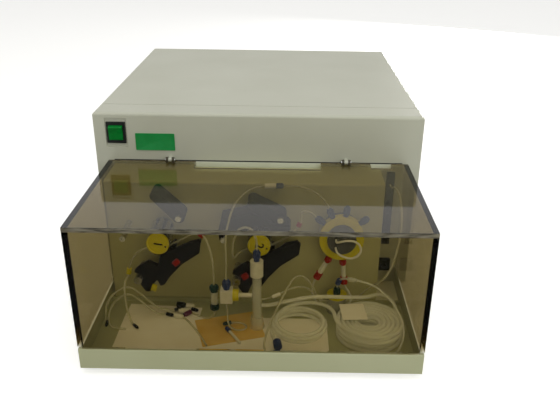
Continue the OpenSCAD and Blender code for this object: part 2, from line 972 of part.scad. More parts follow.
module rollers(x) {
    for (i = [0 : roller_count - 1]) {
        translate([
            x + roller_c * cos(360 * i / roller_count),
            0,
            axis_z + roller_c * sin(360 * i / roller_count)
        ]) {
            rod_y(0, 0, roller_r, panel_y - rotor_front + flange_t + 0.2,
                panel_y - rotor_back - flange_t - 0.2);
            rod_y(0, 0, pin_roller_r, panel_y - rotor_front + flange_t - 2.3,
                panel_y - rotor_back - flange_t + 2.3);
        }
    }
}

module cap(x) {
    difference() {
        rod_y(x, axis_z, cap_r, panel_y - rotor_front - 4, panel_y - rotor_front);
        rod_y(x, axis_z, 3, panel_y - rotor_front - 5, panel_y - rotor_front - 2);
    }
}

module rotor_1() {
    color(black) rotor(pump_1_x);
}

module rotor_2() {
    color(black) rotor(pump_2_x);
}

module rollers_1() {
    color(steel) rollers(pump_1_x);
}

module rollers_2() {
    color(steel) rollers(pump_2_x);
}

module cap_1() {
    color(yellow) cap(pump_1_x);
}

module cap_2() {
    color(yellow) cap(pump_2_x);
}

module pump_rods() {
    color(steel) for (x = [pump_1_x, pump_2_x]) {
        rod_y(x + hook_at.x, axis_z + hook_at.y, hook_r, panel_y - 40, panel_y);
        rod_y(x + stop_at.x, axis_z + stop_at.y, rod_r, panel_y - 38, panel_y);
        rod_y(x + pivot_at.x, axis_z + pivot_at.y, rod_r, panel_y - 36, panel_y);
    }
}

module magazine(x) {
    translate([x, 0, axis_z]) along_y(panel_y - mag_front, panel_y - mag_back) difference() {
        union() {
            polygon([
                [44, 1], [48, -2], [46, -16], [25, -31], [10, -48], [3, -59], [-2, -61],
                [-6, -52], [-10, -44], [-4, -34], [0, -20], [4, -12], [14, -13], [27, -5.8]
            ]);
            polygon([
                [-31, -39], [-24, -33], [-14, -27], [-2, -34], [-6, -54], [-9, -57], [-14, -69],
                [-20, -69], [-25, -61], [-27, -55], [-27, -45], [-32, -43]
            ]);
        }
        circle(track_r);
        translate(hook_at) circle(hook_r + fit_gap);
    }
}

module magazine_1() {
    color(black) magazine(pump_1_x);
}

module magazine_2() {
    color(black) magazine(pump_2_x);
}

module lever(x, a) {
    translate([x + pivot_at.x, 0, axis_z + pivot_at.y]) rotate([0, -a, 0])
        along_y(panel_y - 31, panel_y - 9) difference() {
            union() {
                circle(7);
                polygon([[0, -7], [lever_l, -6], [lever_l, 6], [0, 7]]);
                translate([lever_l, 0]) circle(6);
            }
            circle(rod_r + run_gap);
        }
}

module lever_1() {
    color(black) lever(pump_1_x, lever_1_a);
}

module lever_2() {
    color(black) lever(pump_2_x, lever_2_a);
}

module upper_magazine() {
    color(black) translate([pump_2_x, 0, axis_z])
        along_y(panel_y - mag_front, panel_y - mag_back) difference() {
            polygon([
                [-47, 11], [-46, 2], [-41, 2], [-36, 10], [-18, 10], [0, 0], [15, 9], [32, 10],
                [36, 14], [33, 18], [15, 18], [4, 28], [-12, 33], [-22, 30], [-44, 25]
            ]);
            circle(track_r);
            translate(stop_at) circle(rod_r + fit_gap);
        }
}

module pump_tube_1() {
    color(clear) swept(pump_1_path, tube_d / 2, 6);
}

module pump_tube_2() {
    color(clear) swept(pump_2_path, tube_d / 2, 6);
}

// Fittings, grouped by colour

module collar(p, q, r, bore) {
    d = q - p;
    translate(p)
        rotate([0, acos(d.z / norm(d)), atan2(d.y, d.x)])
            difference() {
                cylinder(r = r, h = norm(d));
                translate([0, 0, -over]) cylinder(r = bore, h = norm(d) + 2 * over);
            }
}

module port_nut(a, r0, r1, r) {
    translate([valve_x, port_y, ring_z]) rotate([0, 90 - a, 0])
        translate([0, 0, r0]) cylinder(r = r, h = r1 - r0);
}

// A finger nut: plain neck, fluted grip and tapered tip
module finger_nut(r, h) {
    neck = h * 0.28;
    tip = h * 0.18;
    cylinder(r = r * 0.74, h = neck + 0.5);
    translate([0, 0, neck]) linear_extrude(h - neck - tip) polygon([
        for (i = [0 : 2 * nut_flutes - 1])
            (i % 2 == 0 ? r : r - 0.55) * [cos(180 * i / nut_flutes), sin(180 * i / nut_flutes)]
    ]);
    translate([0, 0, h - tip - 0.1]) cylinder(r1 = r - 0.7, r2 = r * 0.6, h = tip + 0.1);
}

module port_finger_nut(a, h, r) {
    translate([valve_x, port_y, ring_z]) rotate([0, 90 - a, 0])
        translate([0, 0, ring_r]) finger_nut(r, h);
}

function on_route(p, i, f) = p[i] * (1 - f) + p[i + 1] * f;

// A stopper sits on one straight stretch of a pump tube
stop_1 = len(pump_1_route) + len(pump_left) + len(pump_arc) + 3;
stop_2 = len(pump_2_start) + len(pump_2_left) + len(pump_arc) + 3;

module stopper(p, i, f, g) {
    collar(on_route(p, i, f), on_route(p, i, g), 3, tube_d / 2 + 0.1);
}

module red_fittings() {
    color([0.62, 0.10, 0.06]) {
        for (a = red_a) {
            port_finger_nut(a, 10, 4.2);
        }
        stopper(pump_1_path, stop_1, 0.3, 0.8);
        stopper(pump_2_path, stop_2, 0.3, 0.8);
        for (i = [0, 1]) {
            collar(link_low(i), link_low(i) + unit(link_low(i) - link_top(i)) * 9, 4.4, 1.2);
        }
    }
}

function link_top(i) = [
    valve_x + (ring_r + 10.1) * cos(red_a[i]),
    port_y,
    ring_z + (ring_r + 10.1) * sin(red_a[i])
];
function link_low(i) = link_top(i) + link_l * [cos(red_a[i]), 0, sin(red_a[i])];

module yellow_fittings() {
    color(yellow) {
        difference() {
            rod_z(mix_x, mix_y, mix_r, floor_z + mix_h, floor_z + mix_h + 4);
            rod_z(mix_x, mix_y, 5, floor_z + mix_h - over, floor_z + mix_h + 5);
        }
        rod_x(tee_y, tee_z, 7, tee_x + 7, tee_x + 14);
        stopper(pump_1_path, len(pump_1_route), 0.25, 0.75);
    }
}

module blue_nuts() {
    color([0.08, 0.22, 0.55]) {
        for (a = blue_a) {
            port_finger_nut(a, 13, 4.2);
        }
        translate([tee_x, tee_y, tee_z + 8]) finger_nut(5, 12);
        translate([column_x, column_y, column_top + 11]) finger_nut(4.5, 14);
    }
}

module teal_nuts() {
    color([0.05, 0.25, 0.24]) {
        translate([join_x, join_y, join_top - 9]) finger_nut(5.5, 9);
        translate([join_x, join_y, join_low + 9]) rotate([180, 0, 0]) finger_nut(5.5, 9);
        translate([mix_x, mix_y, floor_z + mix_h]) finger_nut(4.4, 13);
    }
}

module clear_links() {
    color(clear) {
        for (i = [0, 1]) {
            collar(link_top(i), link_low(i) - unit(link_low(i) - link_top(i)) * 0.1, 3, 1.2);
        }
        rod_z(join_x, join_y, 4.2, join_low + 9, join_top - 9);
    }
}

// Valve

module valve_drive() {
    color([0.22, 0.22, 0.23]) difference() {
        union() {
            block(
                [valve_x - 22, panel_y + house_wall, ring_z - 22],
                [valve_x + 22, panel_y + house_wall + 30, ring_z + 22]
            );
            rod_y(valve_x, ring_z, 16, panel_y + house_wall + 28, panel_y + house_wall + 66);
        }
        rod_y(valve_x, ring_z, 4 + run_gap, panel_y, panel_y + house_wall + 20);
    }
}

module valve_base() {
    color(black) difference() {
        rod_y(valve_x, ring_z, ring_r - 3, panel_y - 11, panel_y);
        rod_y(valve_x, ring_z, 4 + run_gap, panel_y - 12, panel_y + 1);
    }
}

module valve_ring() {
    color(yellow) difference() {
        rod_y(valve_x, ring_z, ring_r, panel_y - 21, panel_y - 11);
        rod_y(valve_x, ring_z, plate_r + run_gap, panel_y - 22, panel_y - 10);
    }
    color(yellow) for (a = concat(blue_a, red_a)) {
        difference() {
            port_nut(a, plate_r + 4, ring_r, 3.6);
            rod_y(valve_x, ring_z, plate_r + 2, panel_y - 22, panel_y - 10);
        }
    }
}

module valve_plate() {
    color([0.16, 0.17, 0.18]) {
        rod_y(valve_x, ring_z, plate_r, panel_y - 24, panel_y - 11.4);
        rod_y(valve_x, ring_z, 4, panel_y - 12, panel_y + house_wall + 18);
        rod_y(valve_x - 7, ring_z + 3, 2.6, panel_y - 26, panel_y - 23);
        rod_y(valve_x - 7, ring_z - 7, 2.6, panel_y - 26, panel_y - 23);
    }
}

module sample_loop() {
    color(white) swept(bay(about(loop_route, valve_x, ring_z)), line_d / 2, 6);
}

// Chemistry

module separator_tube() {
    color(clear) difference() {
        union() {
            rod_z(column_x, column_y, column_r, column_base, column_top);
            translate([column_x, column_y, column_base])
                cylinder(r1 = column_r + 3.5, r2 = column_r + 1.5, h = 15);
        }
        rod_z(column_x, column_y, column_r - 1.3, column_base + 3, column_top + over);
    }
}

module separator_cap() {
    color(white) difference() {
        rod_z(column_x, column_y, 7.5, column_top - 8, column_top + 11);
        rod_z(column_x, column_y, column_r + 0.05, column_top - 9, column_top);
    }
}

module mixing_block() {
    color([0.45, 0.45, 0.42]) difference() {
        rod_z(mix_x, mix_y, mix_r, floor_z, floor_z + mix_h);
        rod_z(mix_x, mix_y, 3, floor_z + 4, floor_z + mix_h + over);
    }
}

module tee_block() {
    color(white) {
        block([tee_x - 7, tee_y - 7, tee_z - 8], [tee_x + 7, tee_y + 7, tee_z + 8]);
        rod_x(tee_y, tee_z, 2.6, tee_x + 14, column_x - column_r);
    }
}

module waste_hose() {
    color(clear) swept(hose_path, hose_d / 2, 8);
}

module waste_coil() {
    color(clear) swept(coil_path, hose_d / 2, 6);
}

module gas_line() {
    color(white) swept(bay(gas_route), line_d / 2, 6);
}

module transfer_line() {
    color(white) swept(bay(transfer_route), line_d / 2, 6);
}

module drain_line() {
    color(white) {
        swept(bay(drain_route), line_d / 2, 6);
        swept(bay(spare_route), line_d / 2, 6);
        swept(bay(small_loop), line_d / 2, 6);
    }
}

chassis_pan();
front_frame();
top_cover();
rear_panel();
rubber_feet();
cover_screws();
switch_housing();
switch_rocker();
mains_inlet();
transformer();
control_board();
fan_frame();
fan_rotor();
drip_tray();
pump_housing();
tray_liner();
slot_grommet();
gas_outlet();
gas_inlet();
hood_top();
hood_front();
hood_left();
hood_right();
hinge_lugs();
hinge_brackets();
hinge_pins();
pump_motors();
rotor_1();
rotor_2();
rollers_1();
rollers_2();
cap_1();
cap_2();
pump_rods();
magazine_1();
magazine_2();
lever_1();
lever_2();
upper_magazine();
pump_tube_1();
pump_tube_2();
red_fittings();
yellow_fittings();
blue_nuts();
teal_nuts();
valve_drive();
valve_base();
valve_ring();
valve_plate();
clear_links();
sample_loop();
separator_tube();
separator_cap();
mixing_block();
tee_block();
waste_hose();
waste_coil();
gas_line();
transfer_line();
drain_line();
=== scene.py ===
"""Looks of a bench flow-injection unit: a sheet-metal cabinet with a smoked hood over two roller pumps.

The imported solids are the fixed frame. Each sub-assembly below is a class that dresses its solids with
procedural finishes and models the pieces that belong to the looks alone. Pieces and tubes are
given in millimetres and turned into metres by MM; the studio and the finishes are given in metres.
"""

from __future__ import annotations

import json
import logging
import math
from collections.abc import Callable, Iterable, Iterator, Sequence
from contextlib import contextmanager
from dataclasses import dataclass, field
from enum import Enum

import bmesh
import bpy
from mathutils import Matrix, Vector

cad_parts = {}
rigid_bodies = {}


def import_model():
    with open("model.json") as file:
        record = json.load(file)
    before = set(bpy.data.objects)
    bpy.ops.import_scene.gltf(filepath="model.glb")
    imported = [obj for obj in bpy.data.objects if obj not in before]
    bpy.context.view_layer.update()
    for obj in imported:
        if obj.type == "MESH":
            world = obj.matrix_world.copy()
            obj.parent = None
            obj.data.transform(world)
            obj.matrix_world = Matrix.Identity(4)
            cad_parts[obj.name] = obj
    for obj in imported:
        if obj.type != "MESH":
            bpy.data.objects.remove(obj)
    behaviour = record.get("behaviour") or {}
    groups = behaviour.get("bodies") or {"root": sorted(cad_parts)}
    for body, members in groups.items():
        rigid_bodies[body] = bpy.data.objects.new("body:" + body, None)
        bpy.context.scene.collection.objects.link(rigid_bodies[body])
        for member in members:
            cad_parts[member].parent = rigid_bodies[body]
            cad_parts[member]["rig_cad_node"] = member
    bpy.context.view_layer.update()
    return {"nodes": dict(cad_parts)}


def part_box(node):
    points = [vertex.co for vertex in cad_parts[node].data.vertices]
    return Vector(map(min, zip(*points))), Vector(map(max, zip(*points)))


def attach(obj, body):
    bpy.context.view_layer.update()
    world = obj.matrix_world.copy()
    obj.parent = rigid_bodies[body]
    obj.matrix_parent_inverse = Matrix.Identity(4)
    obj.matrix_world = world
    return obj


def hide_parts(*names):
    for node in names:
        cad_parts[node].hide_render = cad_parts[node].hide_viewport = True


LOG = logging.getLogger("flow_injection_unit")

MM = 0.001
# Share of the white backdrop that rays through glass or acrylic meet.
SEEN_THROUGH = 0.4
# Places across and height of the two pumps' axes.
PUMP_PLACES = (-111.0, 5.0)
PUMP_HEIGHT = 113.0
# Directions in which a chosen face looks.
FRONT = Vector((0, -1, 0))
BACK = Vector((0, 1, 0))
Point = tuple[float, float, float]
Colour = tuple[float, float, float, float]


def tone(red: int, green: int, blue: int) -> Colour:
    """Turn a display colour into the linear colour that a shader takes.

    Args:
        red: Red from 0 to 255.
        green: Green from 0 to 255.
        blue: Blue from 0 to 255.

    Returns:
        The linear colour with full opacity.
    """
    parts = [channel / 255 for channel in (red, green, blue)]
    linear = [p / 12.92 if p <= 0.04045 else ((p + 0.055) / 1.055) ** 2.4 for p in parts]
    return linear[0], linear[1], linear[2], 1.0


class Slot(Enum):
    """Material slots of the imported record."""

    PAINT = "cabinet_paint"
    PAN = "pan_steel"
    RUBBER = "foot_rubber"
    SCREW = "screw_steel"
    BLACK = "black_plastic"
    MAGAZINE = "magazine_plastic"
    GREEN = "switch_green"
    ACRYLIC = "smoked_acrylic"
    STEEL = "bright_steel"
    MOTOR = "motor_metal"
    CORE = "core_lacquer"
    BOARD = "board_green"
    BRASS = "brass"
    YELLOW = "yellow_plastic"
    RED = "red_plastic"
    BLUE = "blue_plastic"
    TEAL = "teal_plastic"
    GREY = "valve_grey"
    WHITE = "white_ptfe"
    CLEAR = "clear_tube"
    GLASS = "glass"
    PAPER = "liner_paper"


class Look(Enum):
    """Looks of their own, beside the record's slots."""

    HOUSING = "housing_paint"
    TRAY = "tray_paint"
    LABEL = "label_green"
    BRONZE = "hinge_bronze"
    PRINT = "black_print"
    TAN = "stained_paper"
    PURPLE = "purple_plastic"
    TOP = "smoked_top"
    LIP_HIGHLIGHT = "lip_paint"
    LINE = "pale_line"


class Body(Enum):
    """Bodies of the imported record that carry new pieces."""

    UNIT = "unit"
    ROTOR_1 = "pump_rotor_1"
    ROTOR_2 = "pump_rotor_2"
    CLAMP_1 = "clamp_1"
    CLAMP_2 = "clamp_2"
    VALVE = "valve_turn_plate"


class Tree:
    """A material's node tree, with short calls for the nodes that the finishes share."""

    def __init__(self, name: str) -> None:
        """Start an empty material.

        Args:
            name: Name of the material.
        """
        self.material = bpy.data.materials.new(name)
        self.material.use_nodes = True
        self.nodes = self.material.node_tree.nodes
        self.links = self.material.node_tree.links
        self.nodes.clear()
        self.output = self.nodes.new("ShaderNodeOutputMaterial")
        self.place = self.nodes.new("ShaderNodeTexCoord").outputs["Object"]

    def shader(self) -> bpy.types.Node:
        """Add the Principled shader and join it to the output."""
        node = self.nodes.new("ShaderNodeBsdfPrincipled")
        self.links.new(node.outputs[0], self.output.inputs["Surface"])
        return node

    def noise(self, scale: float, detail: float = 3.0, stretch: Point = (1, 1, 1)) -> bpy.types.NodeSocket:
        """Add a noise pattern on Object coordinates.

        Args:
            scale: Patches in a metre.
            detail: Octaves of finer noise.
            stretch: Scale along each axis, for grain with a direction.

        Returns:
            The pattern's strength socket.
        """
        mapping = self.nodes.new("ShaderNodeMapping")
        mapping.inputs["Scale"].default_value = stretch
        self.links.new(self.place, mapping.inputs["Vector"])
        node = self.nodes.new("ShaderNodeTexNoise")
        node.inputs["Scale"].default_value = scale
        node.inputs["Detail"].default_value = detail
        self.links.new(mapping.outputs[0], node.inputs["Vector"])
        return node.outputs["Fac"]

    def ramp(
        self, source: bpy.types.NodeSocket, stops: Sequence[tuple[float, Colour]]
    ) -> bpy.types.NodeSocket:
        """Colour a pattern.

        Args:
            source: The pattern.
            stops: Places from 0 to 1 and their colours, in order.

        Returns:
            The colour socket.
        """
        node = self.nodes.new("ShaderNodeValToRGB")
        elements = node.color_ramp.elements
        while len(elements) < len(stops):
            elements.new(0.5)
        for element, (place, colour) in zip(elements, stops):
            element.position = place
            element.color = colour
        self.links.new(source, node.inputs[0])
        return node.outputs[0]

    def span(
        self, source: bpy.types.NodeSocket, low: float, high: float, start: float = 0.3, end: float = 0.7
    ) -> bpy.types.NodeSocket:
        """Stretch a pattern to a range.

        Args:
            source: The pattern.
            low: Value at the range's start.
            high: Value at the range's end.
            start: Pattern value that gives low.
            end: Pattern value that gives high.

        Returns:
            The stretched pattern.
        """
        node = self.nodes.new("ShaderNodeMapRange")
        values = {"From Min": start, "From Max": end, "To Min": low, "To Max": high}
        for key, value in values.items():
            node.inputs[key].default_value = value
        self.links.new(source, node.inputs["Value"])
        return node.outputs[0]

    def blend(
        self, factor: bpy.types.NodeSocket, first: bpy.types.NodeSocket, second: Colour
    ) -> bpy.types.NodeSocket:
        """Lay a colour over a coloured pattern where a mask is high.

        Args:
            factor: The mask.
            first: The pattern below.
            second: The colour laid over it.

        Returns:
            The blended colour.
        """
        node = self.nodes.new("ShaderNodeMix")
        node.data_type = "RGBA"
        colours = [s for s in node.inputs if s.type == "RGBA"]
        self.links.new(factor, node.inputs["Factor"])
        self.links.new(first, colours[0])
        colours[1].default_value = second
        return next(s for s in node.outputs if s.type == "RGBA")

    def bump(
        self, shader: bpy.types.Node, source: bpy.types.NodeSocket, depth: float, strength: float
    ) -> None:
        """Raise a pattern as relief.

        Args:
            shader: Shader that takes the relief.
            source: Height pattern.
            depth: Height in metres.
            strength: Strength from 0 to 1.
        """
        node = self.nodes.new("ShaderNodeBump")
        node.inputs["Strength"].default_value = strength
        node.inputs["Distance"].default_value = depth
        self.links.new(source, node.inputs["Height"])
        self.links.new(node.outputs[0], shader.inputs["Normal"])

    def let_lamps_through(self, shader: bpy.types.Node, kinds: Sequence[str], share: float) -> None:
        """Join a clear shader to the output so that lamps shine through it.

        Args:
            shader: The clear shader.
            kinds: Rays that pass, by their Light Path names.
            share: How much of them passes.
        """
        rays = self.nodes.new("ShaderNodeLightPath")
        found = rays.outputs[kinds[0]]
        for kind in kinds[1:]:
            either = self.nodes.new("ShaderNodeMath")
            either.operation = "MAXIMUM"
            self.links.new(found, either.inputs[0])
            self.links.new(rays.outputs[kind], either.inputs[1])
            found = either.outputs[0]
        through = self.nodes.new("ShaderNodeBsdfTransparent")
        through.inputs[0].default_value = (1, 1, 1, 1)
        mix = self.nodes.new("ShaderNodeMixShader")
        self.links.new(self.span(found, 0.0, share, 0.0, 1.0), mix.inputs[0])
        self.links.new(shader.outputs[0], mix.inputs[1])
        self.links.new(through.outputs[0], mix.inputs[2])
        self.links.new(mix.outputs[0], self.output.inputs["Surface"])

    def saw(self, shader: bpy.types.Node, share: float) -> bpy.types.Node:
        """Dull the faces that look forwards, where a sheet was sawn.

        Args:
            shader: Shader of the polished faces.
            share: How dull the sawn faces are, from 0 to 1.

        Returns:
            The mixed shader.
        """
        facing = self.nodes.new("ShaderNodeVectorMath")
        facing.operation = "DOT_PRODUCT"
        facing.inputs[1].default_value = (0, -1, 0)
        self.links.new(self.place.node.outputs["Normal"], facing.inputs[0])
        marks = self.noise(420.0, 3.0, (0.15, 1, 1))
        dull = self.nodes.new("ShaderNodeBsdfDiffuse")
        stops = [(0.3, tone(70, 65, 54)), (0.7, tone(150, 144, 126))]
        self.links.new(self.ramp(marks, stops), dull.inputs[0])
        mix = self.nodes.new("ShaderNodeMixShader")
        self.links.new(self.span(facing.outputs["Value"], 0.0, share, 0.85, 0.95), mix.inputs[0])
        self.links.new(shader.outputs[0], mix.inputs[1])
        self.links.new(dull.outputs[0], mix.inputs[2])
        return mix

    def edges(self, radius: float) -> bpy.types.NodeSocket:
        """Find the edges of a piece, where handling wears it.

        Args:
            radius: Width of the worn band in metres.

        Returns:
            A mask that is high along edges.
        """
        round_off = self.nodes.new("ShaderNodeBevel")
        round_off.samples = 4
        round_off.inputs["Radius"].default_value = radius
        flat = self.nodes.new("ShaderNodeNewGeometry")
        turn = self.nodes.new("ShaderNodeVectorMath")
        turn.operation = "DOT_PRODUCT"
        self.links.new(round_off.outputs[0], turn.inputs[0])
        self.links.new(flat.outputs["Normal"], turn.inputs[1])
        return self.span(turn.outputs["Value"], 1.0, 0.0, 0.72, 0.99)


@dataclass(frozen=True)
class Finish:
    """A solid finish: mottled colour, uneven gloss, fine relief and worn edges."""

    slot: Slot | Look
    colours: tuple[Colour, Colour]
    gloss: tuple[float, float] = (0.35, 0.5)
    patch: float = 60.0
    relief: float = 0.00008
    relief_scale: float = 900.0
    metal: float = 0.0
    coat: float = 0.0
    shine: float = 0.5
    stretch: Point = (1, 1, 1)
    wear: Colour | None = None
    wear_width: float = 0.0006

    def build(self) -> bpy.types.Material:
        """Make the material.

        Returns:
            The finished material.
        """
        tree = Tree(self.slot.value)
        shader = tree.shader()
        patches = tree.noise(self.patch, 4.0, self.stretch)
        colour = tree.ramp(patches, [(0.32, self.colours[0]), (0.68, self.colours[1])])
        grain = tree.noise(self.relief_scale, 2.0, self.stretch)
        if self.wear is not None:
            mask = tree.edges(self.wear_width)
            colour = tree.blend(mask, colour, self.wear)
        tree.links.new(colour, shader.inputs["Base Color"])
        tree.links.new(tree.span(grain, *self.gloss), shader.inputs["Roughness"])
        shader.inputs["Metallic"].default_value = self.metal
        shader.inputs["Coat Weight"].default_value = self.coat
        shader.inputs["Specular IOR Level"].default_value = self.shine
        tree.bump(shader, grain, self.relief, 0.6)
        return tree.material


@dataclass(frozen=True)
class ClearFinish:
    """Clear tubing or glass: part clear, part milky, and lamps shine through it."""

    slot: Slot | Look
    colours: tuple[Colour, Colour]
    clear: float = 0.6
    bend: float = 1.42
    gloss: tuple[float, float] = (0.08, 0.2)
    patch: float = 140.0
    lets: float = 0.7
    milk: float = 0.0

    def build(self) -> bpy.types.Material:
        """Make the material.

        Returns:
            The finished material.
        """
        tree = Tree(self.slot.value)
        shader = tree.nodes.new("ShaderNodeBsdfPrincipled")
        patches = tree.noise(self.patch, 3.0)
        colour = tree.ramp(patches, [(0.3, self.colours[0]), (0.7, self.colours[1])])
        tree.links.new(colour, shader.inputs["Base Color"])
        tree.links.new(tree.span(patches, *self.gloss), shader.inputs["Roughness"])
        shader.inputs["Transmission Weight"].default_value = self.clear
        shader.inputs["IOR"].default_value = self.bend
        shader.inputs["Subsurface Weight"].default_value = self.milk
        shader.inputs["Subsurface Radius"].default_value = (1.0, 1.0, 0.9)
        shader.inputs["Subsurface Scale"].default_value = 0.005
        tree.let_lamps_through(shader, ("Is Shadow Ray",), self.lets)
        return tree.material


@dataclass(frozen=True)
class AcrylicFinish:
    """Smoked sheet acrylic: tinted through, smudged, and dull where its front edge was sawn."""

    slot: Slot | Look
    tint: Colour
    density: float
    bend: float
    smudge: tuple[float, float] = (0.0, 0.045)
    sawn: float = 0.0

    def build(self) -> bpy.types.Material:
        """Make the material.

        Returns:
            The finished material.
        """
        tree = Tree(self.slot.value)
        shader = tree.nodes.new("ShaderNodeBsdfPrincipled")
        smudges = tree.noise(14.0, 6.0)
        film = tree.ramp(smudges, [(0.35, tone(255, 255, 255)), (0.75, tone(246, 246, 243))])
        tree.links.new(film, shader.inputs["Base Color"])
        tree.links.new(tree.span(smudges, *self.smudge), shader.inputs["Roughness"])
        shader.inputs["Transmission Weight"].default_value = 1.0
        shader.inputs["IOR"].default_value = self.bend
        surface = shader
        if self.sawn > 0:
            surface = tree.saw(shader, self.sawn)
        tree.let_lamps_through(surface, ("Is Shadow Ray", "Is Diffuse Ray"), 1.0)
        inside = tree.nodes.new("ShaderNodeVolumeAbsorption")
        inside.inputs["Color"].default_value = self.tint
        inside.inputs["Density"].default_value = self.density
        tree.links.new(inside.outputs[0], tree.output.inputs["Volume"])
        return tree.material


FINISHES: tuple[Finish | ClearFinish | AcrylicFinish, ...] = (
    Finish(
        Slot.PAINT,
        (tone(181, 182, 166), tone(187, 188, 173)),
        gloss=(0.42, 0.58),
        patch=9.0,
        relief=0.00005,
        relief_scale=1100.0,
        wear=tone(172, 173, 154),
        wear_width=0.0008,
    ),
    # Painted steel pan, its paint paler than the cabinet's: painted light that lifts the shade in the
    # recess beside the pump housing where the pan shows.
    Finish(
        Slot.PAN,
        (tone(226, 224, 199), tone(233, 231, 207)),
        (0.42, 0.58),
        25.0,
        wear=tone(208, 206, 178),
    ),
    Finish(
        Look.HOUSING,
        (tone(183, 181, 138), tone(191, 189, 147)),
        gloss=(0.45, 0.6),
        patch=7.0,
        relief=0.00005,
        relief_scale=1100.0,
        shine=0.3,
        wear=tone(170, 168, 122),
        wear_width=0.0008,
    ),
    Finish(
        Look.TRAY,
        (tone(165, 167, 132), tone(172, 174, 141)),
        gloss=(0.42, 0.58),
        patch=9.0,
        relief=0.00005,
        relief_scale=1100.0,
        wear=tone(150, 152, 118),
        wear_width=0.0008,
    ),
    # Paint of the fascia's lip, lighter than the cabinet paint: a painted highlight for the light that
    # falls on the ledge under the hood's notches.
    Finish(
        Look.LIP_HIGHLIGHT,
        (tone(190, 193, 176), tone(197, 200, 184)),
        (0.4, 0.55),
        30.0,
        wear=tone(176, 178, 158),
    ),
    Finish(Look.LABEL, (tone(4, 132, 60), tone(12, 142, 68)), (0.3, 0.42), 90.0),
    Finish(Look.BRONZE, (tone(54, 50, 36), tone(64, 59, 43)), (0.3, 0.45), 160.0, shine=0.3),
    Finish(Look.PRINT, (tone(16, 15, 12), tone(26, 25, 20)), (0.5, 0.7), 300.0, shine=0.2),
    Finish(
        Look.TAN,
        (tone(214, 176, 92), tone(234, 200, 122)),
        (0.8, 0.95),
        34.0,
        0.00006,
        1600.0,
        shine=0.2,
    ),
    Finish(Look.PURPLE, (tone(84, 26, 66), tone(102, 38, 82)), (0.3, 0.45), 260.0),
    Finish(Slot.RUBBER, (tone(26, 26, 27), tone(38, 38, 38)), (0.7, 0.9), 200.0, 0.0001, 1500.0),
    Finish(Slot.SCREW, (tone(70, 70, 72), tone(96, 96, 98)), (0.3, 0.45), 400.0, metal=0.85),
    Finish(
        Slot.BLACK,
        (tone(16, 18, 17), tone(25, 28, 26)),
        (0.35, 0.5),
        120.0,
        shine=0.14,
        wear=tone(56, 58, 56),
        wear_width=0.0004,
    ),
    Finish(
        Slot.MAGAZINE,
        (tone(11, 11, 13), tone(20, 20, 22)),
        (0.38, 0.55),
        90.0,
        shine=0.12,
        wear=tone(46, 46, 48),
        wear_width=0.0005,
    ),
    Finish(Slot.GREEN, (tone(1, 110, 38), tone(6, 124, 46)), (0.25, 0.38), 160.0, shine=0.06),
    AcrylicFinish(Slot.ACRYLIC, (0.517, 0.43, 0.123, 1.0), 184.0, 1.12),
    AcrylicFinish(Look.TOP, (0.517, 0.43, 0.123, 1.0), 190.0, 1.37, sawn=0.75),
    ClearFinish(Look.LINE, (tone(214, 213, 194), tone(228, 227, 210)), 0.6, 1.22, (0.12, 0.25)),
    Finish(Slot.STEEL, (tone(186, 188, 190), tone(210, 211, 212)), (0.18, 0.32), 300.0, metal=1.0),
    Finish(Slot.MOTOR, (tone(92, 93, 95), tone(120, 121, 122)), (0.35, 0.5), 70.0, metal=0.7),
    Finish(Slot.CORE, (tone(92, 74, 50), tone(122, 100, 68)), (0.4, 0.6), 150.0, stretch=(1, 1, 14)),
    Finish(Slot.BOARD, (tone(20, 84, 50), tone(34, 104, 62)), (0.3, 0.5), 240.0),
    Finish(Slot.BRASS, (tone(188, 152, 78), tone(208, 172, 96)), (0.22, 0.38), 220.0, metal=1.0),
    Finish(
        Slot.YELLOW,
        (tone(202, 190, 3), tone(214, 202, 6)),
        (0.3, 0.45),
        130.0,
        wear=tone(220, 208, 40),
        wear_width=0.0004,
    ),
    Finish(Slot.RED, (tone(150, 22, 12), tone(168, 32, 20)), (0.28, 0.42), 260.0, shine=0.3),
    Finish(Slot.BLUE, (tone(26, 46, 104), tone(38, 62, 126)), (0.3, 0.45), 260.0),
    Finish(Slot.TEAL, (tone(10, 44, 46), tone(18, 58, 58)), (0.3, 0.45), 260.0, shine=0.3),
    Finish(Slot.GREY, (tone(74, 76, 78), tone(96, 98, 100)), (0.3, 0.45), 200.0, metal=0.5),
    Finish(Slot.WHITE, (tone(226, 224, 214), tone(238, 236, 228)), (0.35, 0.5), 180.0),
    ClearFinish(Slot.CLEAR, (tone(236, 237, 228), tone(244, 245, 238)), 0.42, 1.2, lets=0.95, milk=1.0),
    ClearFinish(Slot.GLASS, (tone(240, 241, 234), tone(249, 250, 246)), 0.72, 1.4, (0.02, 0.08), lets=0.8),
    Finish(Slot.PAPER, (tone(245, 240, 230), tone(251, 248, 241)), (0.75, 0.95), 40.0, 0.00006, 1800.0),
)


class Palette:
    """All finishes as built materials, found by slot."""

    def __init__(self) -> None:
        """Build each finish once."""
        self.made = {finish.slot: finish.build() for finish in FINISHES}

    def put(self, piece: bpy.types.Object, look: Slot | Look) -> None:
        """Give a piece one finish.

        Args:
            piece: Mesh or curve to dress.
            look: Finish to put on it.
        """
        piece.data.materials.clear()
        piece.data.materials.append(self.made[look])
        isinstance(look, Slot) and "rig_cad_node" not in piece


@dataclass
class Context:
    """What every sub-assembly works with."""

    nodes: dict[str, bpy.types.Object]
    palette: Palette

    def dress(self, look: Slot | Look, *names: str) -> None:
        """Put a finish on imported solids.

        Args:
            look: Finish for them.
            *names: Names of the solids.
        """
        for name in names:
            self.palette.put(self.nodes[name], look)
            LOG.info("dressed %s", name)

    def settle(
        self, piece: bpy.types.Object, look: Slot | Look, body: Body, stands_for: Iterable[str] = ()
    ) -> None:
        """Finish a new piece: material, body and the solids that it stands for.

        Args:
            piece: The new piece.
            look: Its finish.
            body: Body that carries it.
            stands_for: Solids that it hides.
        """
        self.palette.put(piece, look)
        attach(piece, body.value)
        for name in stands_for:
            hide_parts(name)
        LOG.info("made %s", piece.name)


